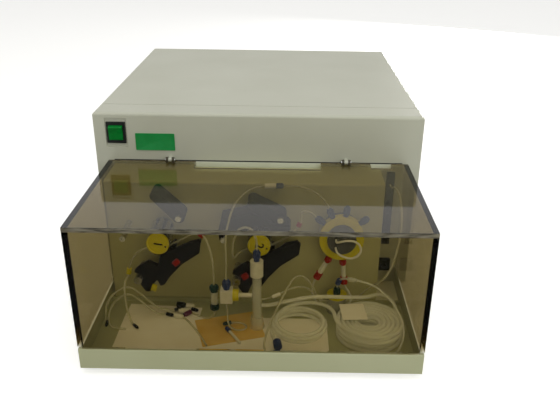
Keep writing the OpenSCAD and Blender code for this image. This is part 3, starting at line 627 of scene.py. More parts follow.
def straight_rays(nodes: bpy.types.Nodes, links: bpy.types.NodeLinks) -> bpy.types.NodeSocket:
    """Find the rays that see the surroundings: from the eye, off a shiny face or through glass.

    Args:
        nodes: Nodes of the tree.
        links: Links of the tree.

    Returns:
        A mask that is 1 for those rays, and less for the rays through glass.
    """
    rays = nodes.new("ShaderNodeLightPath")
    through = nodes.new("ShaderNodeMapRange")
    links.new(rays.outputs["Is Transmission Ray"], through.inputs["Value"])
    links.new(rays.outputs["Is Glossy Ray"], through.inputs["To Min"])
    through.inputs["To Max"].default_value = SEEN_THROUGH
    either = nodes.new("ShaderNodeMath")
    either.operation = "MAXIMUM"
    links.new(rays.outputs["Is Camera Ray"], either.inputs[0])
    links.new(through.outputs[0], either.inputs[1])
    return either.outputs[0]


@dataclass
class Studio:
    """Camera at the photograph's place, soft light and a pale floor."""

    lens: float = 41.745
    eye: Point = (0.03409, -0.85353, 0.46302)
    pitch: float = 24.948
    yaw: float = 0.492
    roll: float = 0.719

    def camera(self) -> None:
        """Place the camera."""
        data = bpy.data.cameras.new("photo_view")
        data.lens = self.lens
        data.sensor_fit = "HORIZONTAL"
        data.sensor_width = 36.0
        data.clip_start = 0.01
        item = bpy.data.objects.new("photo_view", data)
        bpy.context.scene.collection.objects.link(item)
        turn = Matrix.Rotation(math.radians(self.yaw), 4, "Z")
        tilt = Matrix.Rotation(math.radians(90 - self.pitch), 4, "X")
        lean = Matrix.Rotation(math.radians(self.roll), 4, "Z")
        item.matrix_world = Matrix.Translation(self.eye) @ turn @ tilt @ lean
        bpy.context.scene.camera = item

    def light(self) -> None:
        """Add the lamps and the pale surroundings."""
        for name, place, aim, size, power, colour in (
            ("key", (-0.3, -0.5, 1.9), (0, 0, 0.1), 1.6, 12.8, (1.0, 0.98, 0.95)),
            ("front", (0.75, -1.5, 1.0), (0, -0.1, 0.12), 1.4, 12.2, (0.98, 1.0, 0.93)),
            ("back", (0.2, 0.6, 2.1), (0, 0, 0.2), 1.4, 4.5, (0.96, 0.98, 1.0)),
            ("rear", (0.8, 2.0, 0.24), (0, 0.2, 0.1), 0.4, 14.0, (1.0, 0.99, 0.96)),
        ):
            lamp = bpy.data.lights.new(name, "AREA")
            lamp.shape = "SQUARE"
            lamp.size = size
            lamp.energy = power
            lamp.color = colour
            item = bpy.data.objects.new(name, lamp)
            item.location = place
            item.rotation_euler = (Vector(aim) - Vector(place)).to_track_quat("-Z", "Y").to_euler()
            bpy.context.scene.collection.objects.link(item)
        world = bpy.data.worlds.new("surroundings")
        bpy.context.scene.world = world
        world.use_nodes = True
        nodes, links = world.node_tree.nodes, world.node_tree.links
        nodes.clear()
        output = nodes.new("ShaderNodeOutputWorld")
        seen = straight_rays(nodes, links)
        around = nodes.new("ShaderNodeBackground")
        around.inputs["Color"].default_value = (1.0, 0.985, 0.93, 1)
        around.inputs["Strength"].default_value = 0.3
        white = nodes.new("ShaderNodeBackground")
        white.inputs["Color"].default_value = (1, 1, 1, 1)
        white.inputs["Strength"].default_value = 1.0
        mix = nodes.new("ShaderNodeMixShader")
        links.new(seen, mix.inputs[0])
        links.new(around.outputs[0], mix.inputs[1])
        links.new(white.outputs[0], mix.inputs[2])
        links.new(mix.outputs[0], output.inputs["Surface"])

    def floor(self) -> None:
        """Lay the pale floor, lifted to white for the eye and still holding the shadow."""
        bpy.ops.object.select_all(action="DESELECT")
        bpy.ops.mesh.primitive_plane_add(size=24.0, location=(0, 0, -0.0004))
        plane = bpy.context.object
        plane.name = "floor"
        tree = Tree("pale_floor")
        shader = tree.shader()
        speckle = tree.noise(30.0, 3.0)
        colour = tree.ramp(speckle, [(0.3, tone(216, 216, 213)), (0.7, tone(220, 220, 217))])
        tree.links.new(colour, shader.inputs["Base Color"])
        shader.inputs["Roughness"].default_value = 0.9
        glow = tree.nodes.new("ShaderNodeEmission")
        seen = straight_rays(tree.nodes, tree.links)
        tree.links.new(tree.span(seen, 0.0, 0.6, 0.0, 1.0), glow.inputs["Strength"])
        add = tree.nodes.new("ShaderNodeAddShader")
        tree.links.new(shader.outputs[0], add.inputs[0])
        tree.links.new(glow.outputs[0], add.inputs[1])
        tree.links.new(add.outputs[0], tree.output.inputs["Surface"])
        plane.data.materials.append(tree.material)

    def build(self) -> None:
        """Set up the whole studio."""
        bpy.context.scene.view_settings.view_transform = "Standard"
        self.camera()
        self.light()
        self.floor()


class Stiffness(Enum):
    """How a tube bends."""

    LIMP = "limp"
    STIFF = "stiff"


class Lay(Enum):
    """How a tube lies."""

    LOOSE = "loose"
    COILED = "coiled"


class FarEnd(Enum):
    """What a tube ends in."""

    CONNECTOR = "connector"
    FITTING = "fitting"
    BARE = "bare"
    OBJECT = "object"


@dataclass
class Tube:
    """One tube: its route in millimetres, diameter and what it stands for."""

    name: str
    route: list[Point]
    width: float
    look: Slot | Look
    stands_for: tuple[str, ...]
    body: Body = Body.UNIT
    stiffness: Stiffness = Stiffness.LIMP
    lay: Lay = Lay.LOOSE
    far_end: FarEnd = FarEnd.OBJECT
    fineness: int = 6

    def length(self) -> float:
        """Measure the route in metres along its points."""
        return sum(math.dist(a, b) for a, b in zip(self.route, self.route[1:])) * MM

    def build(self, context: Context) -> bpy.types.Object:
        """Make the tube as one smooth open curve.

        Args:
            context: Shared nodes and finishes.

        Returns:
            The curve.
        """
        data = bpy.data.curves.new(self.name, "CURVE")
        data.dimensions = "3D"
        data.bevel_depth = self.width * MM / 2
        data.bevel_resolution = 3
        data.resolution_u = self.fineness
        data.use_fill_caps = True
        spline = data.splines.new("BEZIER")
        spline.bezier_points.add(len(self.route) - 1)
        for knot, place in zip(spline.bezier_points, self.route):
            knot.co = Vector(place) * MM
            knot.handle_left_type = "AUTO"
            knot.handle_right_type = "AUTO"
        item = bpy.data.objects.new(self.name, data)
        bpy.context.scene.collection.objects.link(item)
        context.settle(item, self.look, self.body, self.stands_for)
        return item

    def declare(self, item: bpy.types.Object, pieces: Sequence[bpy.types.Object] = ()) -> None:
        """Args:
            item: The curve; not used.
            pieces: Fittings that are on it.
        """
        tuple(v * MM for v in self.route[0])
        self.length()
        list(pieces)


@dataclass
class Tubing:
    """All tubes of the bay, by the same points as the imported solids, in millimetres."""

    panel: float = -157.0
    step: float = 57.0
    pump_x: tuple[float, float] = PUMP_PLACES
    axis: float = PUMP_HEIGHT
    floor: float = 12.0
    bed: float = 12.6
    ledge: float = 170.0
    channel: float = 165.0
    valve: tuple[float, float] = (101.0, 111.0)
    ring: float = 26.0
    column: tuple[float, float] = (3.0, 90.6)
    tee: tuple[float, float] = (-32.0, 56.0)
    join: Point = (-47.0, 32.0, 66.0)
    mix: tuple[float, float] = (99.0, 12.0)
    coil: Point = (133.0, -224.0, 14.35)
    coil_r: float = 38.0
    coil_turns: int = 5
    coil_layers: int = 4
    loose_turns: float = 3.5
    turn_points: int = 24
    hose: float = 4.5
    pump_tube: float = 2.6
    line: float = 2.4
    track: float = 15.9
    made: dict[str, bpy.types.Object] = field(default_factory=dict)
    tubes: dict[str, Tube] = field(default_factory=dict)

    def bay(self, points: Iterable[Point]) -> list[Point]:
        """Turn distances in front of the housing into places.

        Args:
            points: Each x, distance and height.

        Returns:
            The places.
        """
        return [(x, self.panel - d, z) for x, d, z in points]

    def about(self, points: Iterable[Point], pump: int) -> list[Point]:
        """Shift points to a pump's axis.

        Args:
            points: Points about the axis.
            pump: 0 for the left pump, 1 for the right one.

        Returns:
            The shifted points.
        """
        return [(x + self.pump_x[pump], d, z + self.axis) for x, d, z in points]

    def arc(self) -> list[Point]:
        """Give the points where a tube wraps the rollers."""
        turns = [math.radians(a) for a in (-100, -90, -80, -70, -60)]
        return [(self.track * math.cos(a), 20.0, self.track * math.sin(a)) for a in turns]

    def nut_tip(self, angle: float, radius: float) -> Point:
        """Give a point on the line of a valve port.

        Args:
            angle: Port angle in degrees from the right.
            radius: Distance from the valve's axis.

        Returns:
            The point, with its distance in front of the housing.
        """
        turn = math.radians(angle)
        return (self.valve[0] + radius * math.cos(turn), 16.0, self.valve[1] + radius * math.sin(turn))

    def first_pump(self) -> list[Point]:
        """Route the first pump's tube from its connector to its free tip."""
        bed, join = self.bed, self.join
        start = [
            (-141, 61, bed + 1.5),
            (-145, 57, bed + 2.5),
            (-148, 54, bed + 9),
            (-151, 51, bed + 21),
            (-153, 46, bed + 33),
            (-155, 37, bed + 41),
            (-155.5, 28, bed + 44),
        ]
        left = [
            (-43, 21, -55),
            (-40, 20, -41),
            (-35, 20, -30),
            (-27, 20, -21),
            (-15, 20, -16.6),
            (-8, 20, -15.8),
        ]
        right = [
            (14.5, 20, -9.7),
            (24, 20, -4.4),
            (34, 20, 1),
            (44, 23, 5.6),
            (52, 31, 5),
            (58, 40, -2),
            (62, 47, -12),
        ]
        end = [(join[0], 51, join[2] + 10), (join[0], 51, join[2] + 0.1)]
        route = self.bay(start + self.about(left + self.arc() + right, 0) + end)
        return route[::-1]

    def second_pump(self) -> list[Point]:
        """Route the second pump's tube from the separator to the valve."""
        x, top = self.column
        start = [
            (x, 56, top + 25.1),
            (x, 56, top + 33),
            (x - 2, 55.5, top + 42),
            (x - 9, 54, top + 48),
            (x - 18, 52, top + 46),
            (x - 25, 49, top + 36),
            (x - 28, 45, top + 21),
        ]
        left = [(-29, 38, -18), (-24, 26, -17.6), (-15, 20, -16.6), (-8, 20, -15.8)]
        right = [(14.5, 20, -9.7), (24, 20, -4.4), (34, 20, 1), (43, 19, 8), (48, 17, 17)]
        before = self.nut_tip(142, self.ring + 28)
        end = [
            (before[0] - 4, before[1], before[2] - 3),
            self.nut_tip(142, self.ring + 22),
            self.nut_tip(142, self.ring + 13.1),
        ]
        return self.bay(start + self.about(left + self.arc() + right, 1) + end)

    def transfer(self) -> list[Point]:
        """Route the line from the valve over the pump to the tee."""
        x, z = self.valve
        tee_x, tee_z = self.tee
        return self.bay(
            [
                self.nut_tip(115, self.ring + 13.1),
                self.nut_tip(115, self.ring + 20),
                (x - 28, 12, z + 50),
                (x - 44, 7.5, z + 56.5),
                (x - 60, 6, z + 58.5),
                (x - 78, 6, z + 58.5),
                (x - 95, 6.2, z + 57),
                (x - 108, 7, z + 53),
                (x - 117, 12, z + 48),
                (x - 123, 21, z + 43.5),
                (x - 127, 32, z + 38),
                (x - 130, 42, z + 29),
                (tee_x, 50, z + 15),
                (tee_x, 55, z - 3),
                (tee_x, 56, tee_z + 32),
                (tee_x, 56, tee_z + 20.1),
            ]
        )

    def gas(self) -> list[Point]:
        """Route the gas line from the channel to the mixing block."""
        x, z, low = self.channel, self.ledge, self.floor
        mix_x, mix_r = self.mix
        return self.bay(
            [
                (x, 3.1 - self.step, z - 22),
                (x, 12 - self.step, z - 22),
                (x + 2, 28 - self.step, z - 16),
                (x + 4, -8, z - 16),
                (x + 4, 12, z - 24),
                (x + 3, 27, z - 42),
                (x - 1, 36, low + 95),
                (x - 6, 39, low + 75),
                (x - 14, 38, low + 58),
                (mix_x + 44, 22, low + 40),
                (mix_x + 33, 13, low + 24),
                (mix_x + 25, 14, low + 15),
                (mix_x + mix_r + 6, 17, low + 12),
                (mix_x + mix_r + 0.1, 17, low + 12),
            ]
        )

    def drain(self) -> list[Point]:
        """Route the line from the inline connector down to the loose connectors."""
        x, low, _ = self.join
        return self.bay(
            [
                (x, 51, low - 0.1),
                (x - 0.5, 51, low - 6),
                (x - 4, 49.5, low - 11.5),
                (x - 10, 46, low - 15.5),
                (x - 18, 40, self.floor + 2.4),
                (x - 28, 33, self.floor + 1.4),
                (x - 36, 28, self.floor + 1.6),
            ]
        )

    def spare(self) -> list[Point]:
        """Route the spare line that arches over the tray's left side."""
        bed, low = self.bed, self.floor
        route = self.bay(
            [
                (-175, 58, low + 1.4),
                (-177.5, 49, low + 5),
                (-178, 45, low + 13),
                (-175, 41, bed + 22),
                (-166, 36, bed + 32),
                (-152, 33.5, bed + 37),
                (-138, 37.5, bed + 32),
                (-126, 38.5, bed + 21),
                (-116, 36.5, bed + 11),
                (-107, 32, bed + 5.5),
                (-98, 27, low + 1.4),
            ]
        )
        return route[::-1]

    def small_loop(self) -> list[Point]:
        """Route the short line that loops on the liner under the tee."""
        x, z = self.tee
        bed = self.bed
        return self.bay(
            [
                (x, 56, z - 8.1),
                (x, 56, z - 16),
                (x + 0.5, 57.5, z - 24),
                (x + 2.5, 60.5, bed + 5),
                (x + 8, 64.5, bed + 1.7),
                (x + 16, 66, bed + 1.5),
                (x + 21.5, 63, bed + 1.5),
                (x + 22, 57, bed + 1.5),
                (x + 17, 52.5, bed + 1.5),
                (x + 9, 51, bed + 1.5),
                (x + 2, 52.5, bed + 1.5),
            ]
        )

    def sample(self) -> list[Point]:
        """Route the sample loop on the valve's turning plate."""
        x, z = self.valve
        loop = [
            (-7, 26.1, 3),
            (-7, 32, 3),
            (-4, 37, 6),
            (4, 39.5, 9),
            (14, 40, 8),
            (20, 40, 1),
            (19, 40, -8),
            (11, 40, -13),
            (2, 39, -12),
            (-5, 36.5, -9),
            (-7, 32, -7),
            (-7, 26.1, -7),
        ]
        return self.bay([(px + x, d, pz + z) for px, d, pz in loop])

    def hose_start(self) -> list[Point]:
        """Route the waste hose from the separator to the coil's first turn."""
        x, bed = self.column[0], self.bed
        coil_x, side = self.coil[0], self.coil[0] + self.coil_r
        return self.bay(
            [
                (x + 5.6, 56, bed + 30),
                (x + 14.5, 56, bed + 30.5),
                (x + 27, 55, bed + 33),
                (x + 43, 53, bed + 36),
                (x + 60, 50, bed + 38),
                (x + 78, 48, bed + 38),
                (x + 96, 45, bed + 36),
                (x + 113, 39, bed + 32),
                (x + 130, 30, bed + 27),
                (coil_x + 15, 18, bed + 23),
                (coil_x + 26, 12, bed + 18),
                (coil_x + 34, 13, bed + 13),
                (side, 22, bed + 8),
                (side, 35, bed + 4),
                (side, 49, self.coil[2]),
                (side, 62.5, self.coil[2]),
            ]
        )

    def coil_point(self, turn: float) -> Point:
        """Place one point of the wound coil.

        Args:
            turn: Turns from the coil's start.

        Returns:
            The point. Layers wind in and out by turns and climb about each reversal.
        """
        count, step, rise = self.coil_turns, self.hose + 0.6, self.hose + 1.1
        inward = abs(1 - abs(1 - (turn / count) % 2))
        radius = self.coil_r - step * count * inward
        climb = sum(min(1.0, max(0.0, (turn - k * count) * 2 + 0.5)) for k in range(1, self.coil_layers))
        angle = -2 * math.pi * turn
        x, y, low = self.coil
        return (x + radius * math.cos(angle), y + radius * math.sin(angle), low + rise * climb)

    def coil_exit(self, part: float) -> Point:
        """Place one point of the half turn that leads off the coil.

        Args:
            part: Share of a turn after the coil.

        Returns:
            The point.
        """
        rise = self.hose + 1.1
        radius, angle = self.coil_r + 3 * part, -2 * math.pi * part
        x, y, low = self.coil
        height = low + (self.coil_layers - 1) * rise + (rise + 0.3) * min(1.0, 3 * part)
        return (x + radius * math.cos(angle), y + radius * math.sin(angle), height)

    def loose_point(self, turn: float) -> Point:
        """Place one point of the loose loops beside the coil.

        Args:
            turn: Turns from where the loops start.

        Returns:
            The point.
        """

        def eased(part: float) -> float:
            """Ease a share from 0 to 1."""
            held = min(1.0, max(0.0, part))
            return held * held * (3 - 2 * held)

        turns, rise, low = self.loose_turns, self.hose + 0.7, self.bed + self.hose / 2 + 0.1
        start = self.coil_exit(0.5)
        first_x, loose_x, loose_y = start[0] - 30, self.coil[0] - 81, self.coil[1] + 2
        drop = start[2] - low - rise * turns
        radius = 30 + 1.5 * math.sin(math.radians(223 * turn))
        angle = 2 * math.pi * turn
        return (
            first_x + (loose_x - first_x) * eased(turn) + radius * math.cos(angle),
            self.coil[1] + (loose_y - self.coil[1]) * eased(turn) + radius * math.sin(angle),
            low + rise * (turns - turn) + drop * (1 - eased(2 * turn)),
        )

    def hose_run(self) -> list[Point]:
        """Route the whole waste hose: to the coil, round it, over to the loose loops and out."""
        count = self.turn_points
        turns = self.coil_turns * self.coil_layers
        wound = [self.coil_point(i / count) for i in range(count * turns + 1)]
        over = [self.coil_exit(i / count) for i in range(1, count // 2 + 1)]
        loose = [self.loose_point(i / count) for i in range(1, round(count * self.loose_turns) + 1)]
        x, y, z = loose[-1]
        tail = ((0.3, 6.3, 0.0), (1.5, 12.5, 0.1), (3.4, 18.5, 0.3), (5.0, 24.6, 1.3), (6.0, 30.5, 2.3))
        return self.hose_start() + wound + over + loose + [(x + a, y - b, z + c) for a, b, c in tail]

    def red_line(self, left: bool) -> list[Point]:
        """Route the thin line from a red nut of the valve to the mixing block.

        Args:
            left: Whether it is the left one.

        Returns:
            The route.
        """
        x, z = self.valve
        angle = math.radians(243 if left else 276)
        reach = self.ring + 35.2
        start = (x + reach * math.cos(angle), 16.0, z + reach * math.sin(angle))
        if left:
            rest = [
                (70.3, 16.5, 50),
                (68.6, 19, 42),
                (71, 23, 33.5),
                (77, 25.5, 27),
                (84, 25, 24),
                (89.2, 22.6, 23.5),
            ]
        else:
            rest = [
                (109.2, 17, 45),
                (113.2, 19, 39.8),
                (116, 20.8, 34),
                (115.8, 22, 28.6),
                (112.8, 22.2, 24),
                (110.1, 21.3, 22),
            ]
        return self.bay([start] + rest)

    def vent(self) -> list[Point]:
        """Route the thin line that arches from the mixing block over the coil to the tray's front."""
        x, low = self.mix[0], self.floor
        return self.bay(
            [
                (x, 17, low + 33.1),
                (x + 0.5, 18.5, low + 40),
                (x + 4, 22, low + 47),
                (x + 13, 28, low + 51),
                (x + 26, 34, low + 51.5),
                (x + 43, 43, low + 49.5),
                (x + 56, 58, low + 44),
                (x + 65, 78, low + 38),
                (x + 68.5, 95, low + 30),
                (x + 66, 107, low + 18),
                (x + 59, 112, low + 8),
                (x + 48, 112.5, low + 2),
                (x + 37, 111.5, low + 1.4),
            ]
        )

    def carrier(self) -> list[Point]:
        """Route the thin line that arches from the separator to the mixing block."""
        return self.bay(
            [
                (8.4, 56, 50.5),
                (13, 56, 51.2),
                (21, 56, 54),
                (32, 54, 58.6),
                (45, 48.5, 62),
                (58, 41, 58.6),
                (68.5, 33.5, 48),
                (76.5, 27.5, 36.5),
                (83, 23.5, 29.5),
                (88, 21.4, 27.6),
            ]
        )

    def clear_loop(self) -> list[Point]:
        """Route the thin line that arches from the mixing block to the tray before the coil."""
        return self.bay(
            [
                (92.4, 27, 24),
                (89, 32.5, 25.5),
                (83, 37, 31.5),
                (75.5, 39, 43),
                (71, 40, 53),
                (66.5, 41, 62),
                (60, 42.3, 71),
                (53, 44.3, 76),
                (46.5, 47.3, 75),
                (41, 51.3, 68.8),
                (33.5, 58.5, 57),
                (24.5, 72.5, 43.5),
                (17.5, 84, 30.5),
                (13.6, 93, 20.8),
                (13.2, 100, 15.6),
                (16.2, 106, 13.9),
                (22.2, 109.5, 13.8),
                (29.5, 110.6, 13.8),
            ]
        )

    def second_arch(self) -> list[Point]:
        """Route the second spare line, in front of the first, down to the tray's left corner."""
        return self.bay(
            [
                (-108, 36.5, 14.9),
                (-114, 40.5, 17),
                (-124, 43.5, 26),
                (-136, 43, 37),
                (-150, 39.5, 43.5),
                (-163, 42, 38.5),
                (-171.3, 46.5, 28.5),
                (-172.6, 54, 18),
                (-168, 62, 13.7),
                (-159.5, 66.5, 14),
                (-150, 67.5, 14),
            ]
        )

    def paper_line(self) -> list[Point]:
        """Route the thin line that lies across the liner."""
        return self.bay(
            [
                (-88.2, 42.6, 15.3),
                (-83.5, 45.5, 14.4),
                (-76, 55, 14),
                (-66.5, 69.5, 14),
                (-58.5, 84, 14),
                (-52, 97, 14),
            ]
        )

    def build(self, context: Context) -> None:
        """Make every tube.

        Args:
            context: Shared nodes and finishes.
        """
        for tube in (
            Tube(
                "waste_hose_run",
                self.hose_run(),
                self.hose,
                Slot.CLEAR,
                ("waste_hose", "waste_coil"),
                lay=Lay.COILED,
                far_end=FarEnd.FITTING,
                fineness=3,
            ),
            Tube(
                "pump_tube_1_run",
                self.first_pump(),
                self.pump_tube,
                Look.LINE,
                ("pump_tube_1",),
                far_end=FarEnd.FITTING,
            ),
            Tube(
                "pump_tube_2_run", self.second_pump(), self.pump_tube, Look.LINE, ("pump_tube_2",)
            ),
            Tube("transfer_line_run", self.transfer(), self.line, Look.LINE, ("transfer_line",)),
            Tube("gas_line_run", self.gas(), self.line, Look.LINE, ("gas_line",)),
            Tube(
                "drain_line_run",
                self.drain(),
                self.line,
                Look.LINE,
                ("drain_line",),
                far_end=FarEnd.CONNECTOR,
            ),
            Tube(
                "spare_line_run",
                self.spare(),
                self.line,
                Look.LINE,
                ("drain_line",),
                far_end=FarEnd.FITTING,
            ),
            Tube(
                "small_loop_run",
                self.small_loop(),
                self.line,
                Look.LINE,
                ("drain_line",),
                far_end=FarEnd.FITTING,
            ),
            Tube(
                "sample_loop_run",
                self.sample(),
                self.line,
                Slot.WHITE,
                ("sample_loop",),
                body=Body.VALVE,
                stiffness=Stiffness.STIFF,
            ),
            Tube("red_line_1", self.red_line(True), self.line, Slot.CLEAR, ()),
            Tube("red_line_2", self.red_line(False), self.line, Slot.CLEAR, ()),
            Tube("vent_line", self.vent(), self.line, Slot.CLEAR, (), far_end=FarEnd.BARE),
            Tube("carrier_line", self.carrier(), self.line, Look.LINE, ()),
            Tube("clear_loop", self.clear_loop(), self.line, Look.LINE, (), far_end=FarEnd.BARE),
            Tube("second_arch", self.second_arch(), self.line, Look.LINE, (), far_end=FarEnd.BARE),
            Tube("paper_line", self.paper_line(), self.line, Look.LINE, (), far_end=FarEnd.BARE),
        ):
            self.tubes[tube.name] = tube
            self.made[tube.name] = tube.build(context)

    def declare(self, on_tubes: dict[str, list[bpy.types.Object]]) -> None:
        """Pass every tube and the fittings on it to the tube's declare, which measures the tube and keeps
        nothing.

        Args:
            on_tubes: Fittings by the tube's name.
        """
        for name, tube in self.tubes.items():
            tube.declare(self.made[name], on_tubes.get(name, ()))


@contextmanager
def editing(piece: bpy.types.Object) -> Iterator[None]:
    """Open one piece in edit mode and close it again.

    Args:
        piece: Mesh to edit.

    Yields:
        Nothing: the operators inside work on the piece.
    """
    bpy.ops.object.select_all(action="DESELECT")
    piece.select_set(True)
    bpy.context.view_layer.objects.active = piece
    bpy.ops.object.mode_set(mode="EDIT")
    try:
        yield
    finally:
        bpy.ops.object.mode_set(mode="OBJECT")


def choose_faces(piece: bpy.types.Object, test: Callable[[Vector, Vector], bool]) -> int:
    """Select the faces that pass a test, in edit mode.

    Args:
        piece: Mesh that is open.
        test: Takes a face's centre and normal.

    Returns:
        How many faces were selected.
    """
    bpy.ops.mesh.select_mode(type="FACE")
    bpy.ops.mesh.select_all(action="DESELECT")
    mesh = bmesh.from_edit_mesh(piece.data)
    for face in mesh.faces:
        face.select_set(test(face.calc_center_median(), face.normal))
    bmesh.update_edit_mesh(piece.data)
    return sum(face.select for face in mesh.faces)


def choose_edges(piece: bpy.types.Object, test: Callable[[Vector, Vector], bool]) -> int:
    """Select the edges that pass a test, in edit mode.

    Args:
        piece: Mesh that is open.
        test: Takes an edge's centre and direction.

    Returns:
        How many edges were selected.
    """
    bpy.ops.mesh.select_mode(type="EDGE")
    bpy.ops.mesh.select_all(action="DESELECT")
    mesh = bmesh.from_edit_mesh(piece.data)
    for edge in mesh.edges:
        first, second = edge.verts[0].co, edge.verts[1].co
        edge.select_set(test((first + second) / 2, (second - first).normalized()))
    bmesh.update_edit_mesh(piece.data)
    return sum(edge.select for edge in mesh.edges)


def rest_in_place(piece: bpy.types.Object, name: str) -> bpy.types.Object:
    """Name a piece and move its place into its mesh.

    Args:
        piece: The piece, as an operator left it.
        name: Its name.

    Returns:
        The same piece, at the origin and unturned.
    """
    bpy.ops.object.select_all(action="DESELECT")
    piece.select_set(True)
    bpy.context.view_layer.objects.active = piece
    bpy.ops.object.transform_apply(location=True, rotation=True, scale=True)
    piece.name = name
    piece.data.name = name
    return piece


def start_block(name: str, low: Point, high: Point) -> bpy.types.Object:
    """Start a piece as a block.

    Args:
        name: Its name.
        low: Lowest corner in millimetres.
        high: Highest corner in millimetres.

    Returns:
        The block.
    """
    bpy.ops.object.select_all(action="DESELECT")
    centre = [(a + b) / 2 * MM for a, b in zip(low, high)]
    size = [(b - a) * MM for a, b in zip(low, high)]
    bpy.ops.mesh.primitive_cube_add(size=1.0, location=centre, scale=size)
    return rest_in_place(bpy.context.object, name)


def start_round(name: str, start: Point, end: Point, radius: float, sides: int = 24) -> bpy.types.Object:
    """Start a piece as a round bar between two points.

    Args:
        name: Its name.
        start: First end in millimetres.
        end: Second end in millimetres.
        radius: Radius in millimetres.
        sides: Faces around it.

    Returns:
        The bar.
    """
    bpy.ops.object.select_all(action="DESELECT")
    first, second = Vector(start) * MM, Vector(end) * MM
    turn = (second - first).to_track_quat("Z", "Y").to_euler()
    bpy.ops.mesh.primitive_cylinder_add(
        vertices=sides,
        radius=radius * MM,
        depth=(second - first).length,
        location=(first + second) / 2,
        rotation=turn,
    )
    return rest_in_place(bpy.context.object, name)


def start_outline(
    name: str, outline: Sequence[tuple[float, float]], front: float, back: float
) -> bpy.types.Object:
    """Start a plate: move a disc's corners to an outline and give it depth.

    Args:
        name: Its name.
        outline: Corners as x and height, in millimetres.
        front: Place of its front face.
        back: Place of its back face.

    Returns:
        The plate.
    """
    bpy.ops.object.select_all(action="DESELECT")
    bpy.ops.mesh.primitive_circle_add(vertices=len(outline), radius=0.01, fill_type="NGON")
    piece = rest_in_place(bpy.context.object, name)
    with editing(piece):
        bpy.ops.mesh.select_mode(type="VERT")
        for index, (x, z) in enumerate(outline):
            bpy.ops.mesh.select_all(action="DESELECT")
            mesh = bmesh.from_edit_mesh(piece.data)
            mesh.verts.ensure_lookup_table()
            corner = mesh.verts[index]
            corner.select_set(True)
            shift = Vector((x, front, z)) * MM - corner.co
            bmesh.update_edit_mesh(piece.data)
            bpy.ops.transform.translate(value=shift)
        bpy.ops.mesh.select_mode(type="FACE")
        bpy.ops.mesh.select_all(action="SELECT")
        push(BACK, back - front)
        bpy.ops.mesh.select_all(action="SELECT")
        bpy.ops.mesh.normals_make_consistent(inside=False)
    return piece


def join_shells(pieces: Sequence[bpy.types.Object]) -> bpy.types.Object:
    """Join the shells of one piece.

    Args:
        pieces: Shells, the first of which keeps its name.

    Returns:
        The joined piece.
    """
    bpy.ops.object.select_all(action="DESELECT")
    for piece in pieces:
        piece.select_set(True)
    bpy.context.view_layer.objects.active = pieces[0]
    bpy.ops.object.join()
    return pieces[0]


def soften(piece: bpy.types.Object, width: float, segments: int = 2, angle: float = 40.0) -> None:
    """Round a piece's sharp edges and smooth its shading.

    Args:
        piece: The piece.
        width: Width of the rounding in millimetres.
        segments: Faces across the rounding.
        angle: Edges sharper than this are rounded, in degrees.
    """
    with editing(piece):
        bpy.ops.mesh.select_mode(type="EDGE")
        bpy.ops.mesh.select_all(action="DESELECT")
        bpy.ops.mesh.edges_select_sharp(sharpness=math.radians(angle))
        bpy.ops.mesh.bevel(offset=width * MM, segments=segments, affect="EDGES", clamp_overlap=True)
    bpy.ops.object.select_all(action="DESELECT")
    piece.select_set(True)
    bpy.context.view_layer.objects.active = piece
    bpy.ops.object.shade_smooth_by_angle(angle=math.radians(angle))


def push(axis: Vector, distance: float) -> None:
    """Extrude the selected faces.

    Args:
        axis: Direction.
        distance: Distance in millimetres.
    """
    bpy.ops.mesh.extrude_region_move(TRANSFORM_OT_translate={"value": axis * distance * MM})


@dataclass
class Fitting:
    """A turned fitting: a round body, stepped at its far end, with or without flutes."""

    name: str
    start: Point
    end: Point
    radius: float
    look: Slot | Look
    steps: tuple[tuple[float, float], ...] = ((0.6, 1.2),)
    flutes: bool = False
    sides: int = 24
    body: Body = Body.UNIT

    def build(self, context: Context) -> bpy.types.Object:
        """Turn the fitting.

        Args:
            context: Shared nodes and finishes.

        Returns:
            The finished piece.
        """
        piece = start_round(self.name, self.start, self.end, self.radius, self.sides)
        first, second = Vector(self.start) * MM, Vector(self.end) * MM
        axis = (second - first).normalized()
        with editing(piece):
            if self.flutes:
                around = axis.orthogonal().normalized()
                across = axis.cross(around)

                def fluted(centre: Vector, normal: Vector) -> bool:
                    """Find every second face of the side."""
                    if abs(normal.dot(axis)) > 0.5:
                        return False
                    turn = math.atan2(normal.dot(across), normal.dot(around)) / math.tau * self.sides
                    return round(turn - 0.5) % 2 == 0

                choose_faces(piece, fluted)
                bpy.ops.mesh.inset(thickness=0.12 * MM, depth=-0.35 * MM, use_individual=True)
            for inset, length in self.steps:
                reach = max(v.co.dot(axis) for v in bmesh.from_edit_mesh(piece.data).verts)
                choose_faces(piece, lambda c, n: n.dot(axis) > 0.9 and c.dot(axis) > reach - 1e-6)
                bpy.ops.mesh.inset(thickness=inset * MM, depth=0.0)
                push(axis, length)
        soften(piece, 0.25, 2)
        context.settle(piece, self.look, self.body)
        return piece


